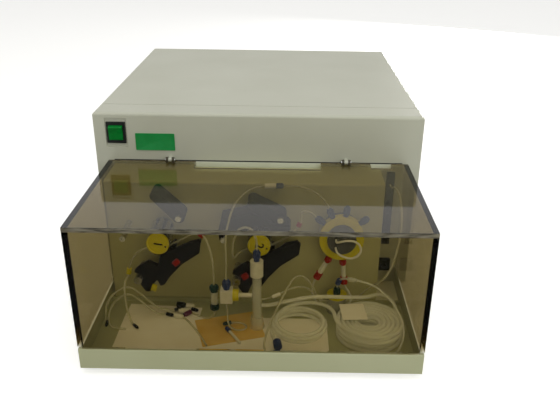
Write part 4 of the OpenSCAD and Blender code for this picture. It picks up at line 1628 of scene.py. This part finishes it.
# By tube: name, both ends of the axis, radius, finish, steps at the far end.
TUBE_FITTINGS: dict[str, tuple[Fitting, ...]] = {
    "drain_line_run": (
        Fitting(
            "connector_white", (-82.4, -184.6, 13.9), (-90.0, -188.6, 16.2),
            3.6, Slot.WHITE, ((0.9, 2.2), (-0.5, 1.8)),
        ),
        Fitting(
            "connector_purple", (-79.0, -188.4, 15.2), (-84.5, -194.4, 15.2),
            3.0, Look.PURPLE, ((0.7, 2.4),), flutes=True,
        ),
    ),
    "spare_line_run": (
        Fitting(
            "tip_dark_1", (-175.6, -209.5, 14.2), (-174.7, -217.4, 13.9),
            1.8, Slot.BLACK, ((0.4, 1.6),),
        ),
    ),
    "pump_tube_1_run": (
        Fitting(
            "tip_dark_2", (-142.4, -216.5, 14.6), (-137.4, -221.6, 14.5),
            1.8, Slot.BLACK, ((0.4, 1.6),),
        ),
    ),
    "small_loop_run": (
        Fitting(
            "tip_teal", (-28.2, -208.6, 14.9), (-35.4, -212.0, 15.0),
            2.3, Slot.TEAL, ((0.5, 1.8),), flutes=True,
        ),
    ),
    "waste_hose_run": (
        Fitting(
            "hose_sleeve", (25.6, -241.4, 15.9), (27.2, -248.0, 16.9),
            3.1, Slot.WHITE, ((0.6, 1.0),),
        ),
        Fitting(
            "hose_nut", (27.3, -248.6, 17.5), (28.7, -258.6, 17.6),
            4.8, Slot.BLUE, ((1.4, 1.6),), flutes=True,
        ),
    ),
    "vent_line": (
        Fitting(
            "vent_nut", (99.3, -175.2, 50.5), (101.2, -177.2, 57.0),
            3.3, Slot.BLUE, ((0.8, 1.2),), flutes=True,
        ),
        Fitting(
            "vent_union", (110.4, -183.9, 62.5), (119.4, -188.7, 63.4),
            2.7, Slot.GLASS, ((0.6, 1.4),),
        ),
    ),
    "carrier_line": (
        Fitting(
            "sleeve_white", (21.0, -213.0, 54.0), (29.4, -211.6, 57.5),
            2.1, Slot.WHITE, ((0.4, 1.0),),
        ),
    ),
    "transfer_line_run": (
        Fitting(
            "union_white", (10.5, -163.1, 168.6), (22.0, -163.0, 169.5),
            3.0, Slot.WHITE, ((0.6, 1.2),),
        ),
        Fitting(
            "union_nut", (23.6, -163.0, 169.5), (31.0, -163.0, 169.5),
            3.2, Slot.BLUE, ((0.8, 1.2),), flutes=True,
        ),
    ),
}

# The same values for the fittings that lie loose on the papers.
LOOSE_FITTINGS: tuple[Fitting, ...] = (
    Fitting(
        "connector_black", (-97.6, -174.9, 16.4), (-88.6, -176.0, 16.4),
        3.6, Slot.BLACK, ((0.9, 2.0), (0.6, 1.2)), flutes=True,
    ),
    Fitting(
        "connector_dark", (-99.2, -184.6, 14.8), (-92.8, -181.6, 14.9),
        2.3, Slot.BLACK, ((0.5, 1.4),), flutes=True,
    ),
    Fitting(
        "connector_end", (-107.6, -193.2, 14.9), (-100.4, -195.6, 14.9),
        2.2, Slot.BLACK, ((0.5, 1.4),),
    ),
    Fitting(
        "connector_cream", (-97.4, -197.4, 15.6), (-88.4, -199.6, 15.6),
        2.9, Slot.WHITE, ((0.5, 2.0),),
    ),
    Fitting(
        "connector_pale", (-85.8, -175.6, 15.8), (-77.6, -177.2, 15.8),
        3.2, Slot.WHITE, ((0.7, 1.8),),
    ),
    Fitting(
        "connector_tip", (-78.6, -181.4, 14.8), (-71.8, -184.4, 14.8),
        2.2, Slot.BLACK, ((0.5, 1.4),),
    ),
    Fitting(
        "spare_rod", (-28.6, -226.4, 14.9), (-15.2, -247.6, 14.7),
        1.7, Slot.WHITE, ((0.4, 1.4),),
    ),
    Fitting(
        "spare_nut", (-28.2, -227.0, 15.2), (-32.0, -221.0, 15.2),
        2.5, Slot.BLUE, ((0.6, 1.2),), flutes=True,
    ),
)


@dataclass
class Paper:
    """A sheet of paper that lies in the bay, a little wavy."""

    name: str
    centre: Point
    size: tuple[float, float]
    look: Slot | Look
    rests_on: str
    turn: float = 0.0
    thickness: float = 0.25
    wave: float = 0.4
    curls: tuple[tuple[int, int, float], ...] = ()
    stands_for: tuple[str, ...] = ()

    def build(self, context: Context) -> bpy.types.Object:
        """Args:
            context: Shared nodes and finishes.

        Returns:
            The sheet.
        """
        width, length = self.size
        bpy.ops.object.select_all(action="DESELECT")
        bpy.ops.mesh.primitive_grid_add(
            x_subdivisions=max(8, round(width / 4)),
            y_subdivisions=max(8, round(length / 4)),
            size=1.0,
            scale=(1, 1, 1),
        )
        piece = bpy.context.object
        piece.scale = (width * MM, length * MM, 1)
        rest_in_place(piece, self.name)
        with editing(piece):
            for side, end, height in self.curls:
                corner = Vector((side * width / 2, end * length / 2, 0)) * MM
                bpy.ops.mesh.select_mode(type="VERT")
                bpy.ops.mesh.select_all(action="DESELECT")
                mesh = bmesh.from_edit_mesh(piece.data)
                for vert in mesh.verts:
                    vert.select_set((vert.co - corner).length < 0.5 * MM)
                bmesh.update_edit_mesh(piece.data)
                bpy.ops.transform.translate(
                    value=(0, 0, height * MM),
                    use_proportional_edit=True,
                    proportional_edit_falloff="SMOOTH",
                    proportional_size=min(width, length) * 0.45 * MM,
                )
        waves = bpy.data.textures.new(self.name + "_waves", "CLOUDS")
        waves.noise_scale = 0.03
        bend = piece.modifiers.new("waves", "DISPLACE")
        bend.texture = waves
        bend.texture_coords = "LOCAL"
        bend.direction = "Z"
        bend.strength = self.wave * MM
        bend.mid_level = 0.5
        body = piece.modifiers.new("body", "SOLIDIFY")
        body.thickness = self.thickness * MM
        body.offset = 0.0
        for modifier in ("waves", "body"):
            bpy.ops.object.modifier_apply(modifier=modifier)
        piece.location = Vector(self.centre) * MM
        piece.rotation_euler = (0, 0, math.radians(self.turn))
        rest_in_place(piece, self.name)
        bpy.ops.object.shade_smooth_by_angle(angle=math.radians(40))
        context.settle(piece, self.look, Body.UNIT, self.stands_for)
        return piece


PAPERS: tuple[Paper, ...] = (
    Paper(
        "liner_sheet", (-36, -238.5, 12.3), (244, 87), Slot.PAPER, "drip_tray",
        wave=0.35, curls=((-1, -1, 3.0), (1, -1, 1.6)), stands_for=("tray_liner",),
    ),
    Paper(
        "back_sheet", (-112, -184.4, 12.2), (90, 25), Slot.PAPER, "drip_tray",
        turn=-4.0, wave=0.08,
    ),
    Paper(
        "tan_sheet", (-29, -218, 12.7), (74, 54), Look.TAN, "liner_sheet",
        turn=17.0, wave=0.12,
    ),
    Paper(
        "coil_tag", (116, -211, 34.4), (29, 33), Slot.PAPER, "waste_hose_run",
        turn=4.0, thickness=0.5,
    ),
)


class Assembly:
    """A sub-assembly of the unit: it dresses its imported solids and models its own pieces."""

    finishes: dict[Slot | Look, tuple[str, ...]] = {}

    def dress(self, context: Context) -> None:
        """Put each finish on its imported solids.

        Args:
            context: Shared nodes and finishes.
        """
        for look, names in self.finishes.items():
            context.dress(look, *names)

    def build(self, context: Context) -> None:
        """Model the pieces that belong to the looks alone; this base only logs that there are none.

        Args:
            context: Shared nodes and finishes; not used.
        """
        LOG.info("%s has no pieces of its own", type(self).__name__)


@dataclass
class Cabinet(Assembly):
    """Sheet-metal cabinet with its feet, screws and bare label plate."""

    finishes = {
        Slot.PAINT: ("front_frame", "top_cover", "rear_panel"),
        Look.HOUSING: ("pump_housing",),
        Look.TRAY: ("drip_tray",),
        # The pan's pale paint is painted light for the shaded recess beside the pump housing.
        Slot.PAN: ("chassis_pan",),
        Slot.RUBBER: ("rubber_feet", "slot_grommet"),
        Slot.SCREW: ("cover_screws",),
    }
    face: float = -100.0
    label: tuple[float, float, float, float] = (-150.0, 191.0, -102.0, 212.6)
    lip_half: float = 178.0
    lip_top: float = 7.2
    # Top of the dark strip above the ledge, a painted shadow line.
    shadow_line_top: float = 8.8

    def build(self, context: Context) -> None:
        """Model the label plate, the fascia's lip and the rear panel's screws.

        Args:
            context: Shared nodes and finishes.
        """
        self.plate(context)
        self.lip(context)
        self.rear_screws(context)

    def plate(self, context: Context) -> None:
        """Model the bare label plate with a slightly raised rim.

        Args:
            context: Shared nodes and finishes.
        """
        left, low, right, high = self.label
        piece = start_block("label_plate", (left, self.face - 0.9, low), (right, self.face, high))
        with editing(piece):
            choose_edges(piece, lambda c, d: abs(d.y) > 0.9)
            bpy.ops.mesh.bevel(offset=1.2 * MM, segments=4, affect="EDGES")
            choose_faces(piece, lambda c, n: n.dot(FRONT) > 0.9)
            bpy.ops.mesh.inset(thickness=0.9 * MM, depth=-0.2 * MM)
        soften(piece, 0.15, 2)
        context.settle(piece, Look.LABEL, Body.UNIT)

    def lip(self, context: Context) -> None:
        """Model the folded lip at the foot of the fascia, in lighter paint that is a painted highlight,
        and above it a dark strip that is a painted shadow line.

        Args:
            context: Shared nodes and finishes.
        """
        half = self.lip_half
        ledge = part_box("pump_housing")[1].z / MM
        middle = ledge + self.lip_top
        # The lip's lighter paint is a painted highlight, for the light on the ledge under the hood's
        # notches.
        strip = start_block("fascia_lip", (-half, self.face - 0.5, ledge + 0.1), (half, self.face, middle))
        with editing(strip):
            choose_faces(strip, lambda c, n: n.dot(FRONT) > 0.9)
            bpy.ops.mesh.inset(thickness=0.6 * MM, depth=0.15 * MM)
        soften(strip, 0.1, 2)
        context.settle(strip, Look.LIP_HIGHLIGHT, Body.UNIT)
        # A dark strip in the rubber finish: painted shadow, the shadow line where the fascia meets the
        # ledge.
        top = ledge + self.shadow_line_top
        shadow_line = start_block("fascia_shadow_line", (-half, self.face - 0.4, middle), (half, self.face, top))
        with editing(shadow_line):
            choose_edges(shadow_line, lambda c, d: abs(d.x) > 0.9 and c.y < (self.face - 0.3) * MM)
            bpy.ops.mesh.bevel(offset=0.2 * MM, segments=3, affect="EDGES")
        context.settle(shadow_line, Slot.RUBBER, Body.UNIT)

    def rear_screws(self, context: Context) -> None:
        """Model one cross-head screw and copy it round the rear panel.

        Args:
            context: Shared nodes and finishes.
        """
        low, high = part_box("rear_panel")
        face = high.y / MM
        first = start_round("rear_screw_1", (0, face, 0), (0, face + 1.2, 0), 3.2, 20)
        with editing(first):
            choose_faces(first, lambda c, n: n.dot(BACK) > 0.9)
            bpy.ops.mesh.inset(thickness=0.7 * MM, depth=0.4 * MM)
            bpy.ops.mesh.inset(thickness=1.4 * MM, depth=0.0)
            push(BACK, -0.9)
        soften(first, 0.15, 2)
        spots = [
            (x * MM, z)
            for x in (low.x / MM + 7, high.x / MM - 7)
            for z in (low.z + 9 * MM, (low.z + high.z) / 2, high.z - 9 * MM)
        ]
        across, up = spots[0]
        first.data.transform(Matrix.Translation((across, 0, up)))
        context.settle(first, Slot.SCREW, Body.UNIT)
        for count, (x, z) in enumerate(spots[1:], 2):
            piece = bpy.data.objects.new(f"rear_screw_{count}", first.data.copy())
            bpy.context.scene.collection.objects.link(piece)
            piece.data.transform(Matrix.Translation((x - across, 0, z - up)))
            context.settle(piece, Slot.SCREW, Body.UNIT)


@dataclass
class Services(Assembly):
    """Power switch, rear inlets, fan and the electronics inside."""

    finishes = {
        Slot.BLACK: ("switch_housing", "mains_inlet", "fan_frame", "fan_rotor", "gas_outlet"),
        Slot.GREEN: ("switch_rocker",),
        Slot.CORE: ("transformer",),
        Slot.BOARD: ("control_board",),
        Slot.BRASS: ("gas_inlet",),
    }


@dataclass
class Hood(Assembly):
    """Smoked acrylic hood on two hinges."""

    finishes = {
        Slot.ACRYLIC: ("hood_front", "hood_left", "hood_right"),
        Look.TOP: ("hood_top",),
        Look.BRONZE: ("hinge_lugs",),
        Slot.PAINT: ("hinge_brackets",),
        Slot.STEEL: ("hinge_pins",),
    }


@dataclass
class Pumps(Assembly):
    """Two roller pumps with their magazines, levers, marked caps and tube clips."""

    finishes = {
        Slot.BLACK: ("rotor_1", "rotor_2"),
        Slot.MAGAZINE: ("upper_magazine", "lever_1", "lever_2"),
        Slot.STEEL: ("rollers_1", "rollers_2", "pump_rods"),
        Slot.MOTOR: ("pump_motors",),
    }
    axis: float = PUMP_HEIGHT
    cap_back: float = -195.0
    cap_front: float = -199.0
    radius: float = 13.0
    pumps: tuple[float, float] = PUMP_PLACES
    track: float = 17.4
    magazine_front: float = -190.0
    magazine_back: float = -164.0
    cheek: tuple[tuple[float, float], ...] = (
        (27, -5.8), (44, 1), (48, -2), (46, -16), (25, -31), (10, -48), (3, -59), (-2, -61),
        (-5.8, -53), (-9, -57), (-14, -69), (-20, -69), (-25, -61), (-27, -55.3), (-23.3, -53.7),
        (-21.7, -50), (-23.3, -46.3), (-27, -44.7), (-32, -43), (-31, -39), (-24, -33), (-14, -27),
        (-3.7, -33), (0, -20), (1.3, -17.4),
    )
    core: tuple[tuple[float, float], ...] = (
        (45.5, -11), (45, -15.5), (25, -30.4), (10.3, -47.3), (3.2, -58.2), (-1.5, -60), (-5.4, -55),
        (-9, -58), (-13.8, -68.4), (-19.6, -68.4), (-20, -59), (-16, -47), (-4, -46), (8, -38),
        (20, -25), (30, -15),
    )

    def build(self, context: Context) -> None:
        """Model the caps, their marks, the magazines and the clips on them.

        Args:
            context: Shared nodes and finishes.
        """
        left, right = self.pumps
        marked = (("1", left, Body.ROTOR_1, "cap_1"), ("2", right, Body.ROTOR_2, "cap_2"))
        for mark, x, body, node in marked:
            self.cap(context, mark, x, body, node)
        self.magazines(context)
        self.clip(context, "tube_clip_1", (-92.5, 85.5), Slot.RED, Body.CLAMP_1, 42.0)
        self.clip(context, "tube_clip_2", (-12.0, 68.5), Slot.RED, Body.CLAMP_2, 35.0)
        self.clip(context, "tube_clip_3", (-120.5, 50.5), Slot.YELLOW, Body.CLAMP_1, 70.0)

    def cap(self, context: Context, mark: str, x: float, body: Body, node: str) -> None:
        """Model one dished cap with its digit and its index dot.

        Args:
            context: Shared nodes and finishes.
            mark: The digit.
            x: The pump's place across.
            body: The rotor that carries it.
            node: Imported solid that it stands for.
        """
        start, end = (x, self.cap_back, self.axis), (x, self.cap_front, self.axis)
        piece = start_round(f"pump_cap_{mark}", start, end, self.radius, 56)
        with editing(piece):
            choose_faces(piece, lambda c, n: n.dot(FRONT) > 0.9)
            bpy.ops.mesh.inset(thickness=1.7 * MM, depth=0.0)
            push(FRONT, -0.7)
            bpy.ops.mesh.inset(thickness=0.5 * MM, depth=0.0)
        soften(piece, 0.35, 3, 50.0)
        context.settle(piece, Slot.YELLOW, body, [node])
        face = (self.cap_front + 0.7) * MM
        bpy.ops.object.select_all(action="DESELECT")
        bpy.ops.object.text_add(location=(0, 0, 0))
        text = bpy.context.object
        text.data.body = mark
        text.data.size = 14.0 * MM
        text.data.extrude = 0.12 * MM
        text.data.offset = 0.3 * MM
        text.data.align_x = "CENTER"
        text.data.align_y = "CENTER"
        bpy.ops.object.convert(target="MESH")
        digit = bpy.context.object
        spin = Matrix.Rotation(math.radians(98), 4, "Y")
        stand = Matrix.Rotation(math.radians(90), 4, "X")
        place = Matrix.Translation((x * MM, face - 0.11 * MM, self.axis * MM))
        digit.matrix_world = place @ spin @ stand
        rest_in_place(digit, f"pump_mark_{mark}")
        context.settle(digit, Look.PRINT, body)
        angle = math.radians(-22)
        reach = self.radius - 3.6
        spot = (x + reach * math.cos(angle), self.cap_front + 0.75, self.axis + reach * math.sin(angle))
        dot = start_round(f"pump_dot_{mark}", spot, (spot[0], spot[1] - 0.2, spot[2]), 1.1, 20)
        with editing(dot):
            choose_faces(dot, lambda c, n: n.dot(FRONT) > 0.9)
            bpy.ops.mesh.inset(thickness=0.25 * MM, depth=0.05 * MM)
        context.settle(dot, Look.PRINT, body)

    def magazines(self, context: Context) -> None:
        """Model one magazine, a cheek plate with a core and a roller track behind it, and copy it.

        Args:
            context: Shared nodes and finishes.
        """
        x, z = self.pumps[0], self.axis
        bow = [math.radians(a) for a in (-80, -70, -60, -50)]
        inner = [(self.track * math.cos(a), self.track * math.sin(a)) for a in bow]
        cheek = [(a + x, b + z) for a, b in (*self.cheek, *inner, (11.8, -12.8), (14, -13))]
        plate = start_outline("magazine_1_body", cheek, self.magazine_front, self.magazine_front + 5)
        with editing(plate):
            choose_faces(plate, lambda c, n: n.y < -0.9)
            bpy.ops.mesh.inset(thickness=1.1 * MM, depth=-0.6 * MM)
        soften(plate, 0.5, 2)
        behind = self.magazine_front + 4.4
        outline = [(a + x, b + z) for a, b in self.core]
        core = start_outline("core", outline, behind, self.magazine_back + 4)
        soften(core, 0.6, 2)
        wide = [math.radians(a) for a in range(-112, -34, 7)]
        near = [(x + self.track * math.cos(a), z + self.track * math.sin(a)) for a in wide]
        far = [(x + 22 * math.cos(a), z + 22 * math.sin(a)) for a in reversed(wide)]
        track = start_outline("track", near + far, behind, self.magazine_back)
        soften(track, 0.5, 2)
        first = join_shells([plate, core, track])
        second = bpy.data.objects.new("magazine_2_body", first.data.copy())
        bpy.context.scene.collection.objects.link(second)
        second.data.transform(Matrix.Translation(((self.pumps[1] - x) * MM, 0, 0)))
        context.settle(first, Slot.MAGAZINE, Body.CLAMP_1, ["magazine_1"])
        context.settle(second, Slot.MAGAZINE, Body.CLAMP_2, ["magazine_2"])

    def clip(
        self, context: Context, name: str, place: tuple[float, float], look: Slot, body: Body, lean: float
    ) -> None:
        """Model one grooved tube clip on a magazine's face.

        Args:
            context: Shared nodes and finishes.
            name: Its name.
            place: Its x and height.
            look: Its finish.
            body: The magazine's body.
            lean: Turn of the groove in degrees from level.
        """
        face, depth, groove = self.magazine_front, 4.2, 1.4
        piece = start_block(name, (-4.0, face - depth, -3.2), (4.0, face + 0.2, 3.2))
        with editing(piece):
            for level in (-groove, groove):
                bpy.ops.mesh.select_all(action="SELECT")
                bpy.ops.mesh.bisect(plane_co=(0, 0, level * MM), plane_no=(0, 0, 1))
            choose_faces(piece, lambda c, n: n.dot(FRONT) > 0.9 and abs(c.z) < groove * MM)
            bpy.ops.transform.translate(value=(0, 1.6 * MM, 0))
            choose_edges(piece, lambda c, d: abs(d.y) > 0.9 and abs(c.z) > 3 * MM)
            bpy.ops.mesh.bevel(offset=1.0 * MM, segments=3, affect="EDGES")
        piece.rotation_euler = (0, math.radians(-lean), 0)
        piece.location = (place[0] * MM, 0, place[1] * MM)
        rest_in_place(piece, name)
        soften(piece, 0.3, 2)
        context.settle(piece, look, body)


@dataclass
class Valve(Assembly):
    """Rotary injection valve with its nuts."""

    finishes = {
        Slot.MOTOR: ("valve_drive",),
        Slot.YELLOW: ("valve_ring", "yellow_fittings"),
        Slot.RED: ("red_fittings",),
        Slot.BLUE: ("blue_nuts",),
        Slot.GREY: ("valve_base", "valve_plate"),
        Slot.GLASS: ("mixing_block",),
    }


@dataclass
class Chemistry(Assembly):
    """Separator, loose fittings and the papers on the tray."""

    finishes = {
        Slot.TEAL: ("teal_nuts",),
        Slot.WHITE: ("separator_cap", "tee_block"),
        Slot.CLEAR: ("clear_links",),
        Slot.GLASS: ("separator_tube",),
    }
    on_tubes: dict[str, list[bpy.types.Object]] = field(default_factory=dict)

    def build(self, context: Context) -> None:
        """Model the papers and the loose fittings.

        Args:
            context: Shared nodes and finishes.
        """
        for paper in PAPERS:
            paper.build(context)
        self.fittings(context)

    def fittings(self, context: Context) -> None:
        """Model the fittings on the tubes' ends and the loose ones.

        Args:
            context: Shared nodes and finishes.
        """
        for tube, fittings in TUBE_FITTINGS.items():
            self.on_tubes[tube] = [fitting.build(context) for fitting in fittings]
        for fitting in LOOSE_FITTINGS:
            fitting.build(context)


def main() -> None:
    """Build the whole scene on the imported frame."""
    logging.basicConfig(level=logging.INFO, format="%(name)s %(message)s")
    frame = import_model()
    context = Context(frame["nodes"], Palette())
    Studio().build()
    tubing = Tubing()
    tubing.build(context)
    chemistry = Chemistry()
    for part in (Cabinet(), Services(), Hood(), Pumps(), Valve(), chemistry):
        part.dress(context)
        part.build(context)
    tubing.declare(chemistry.on_tubes)


if __name__ == "__main__":
    main()
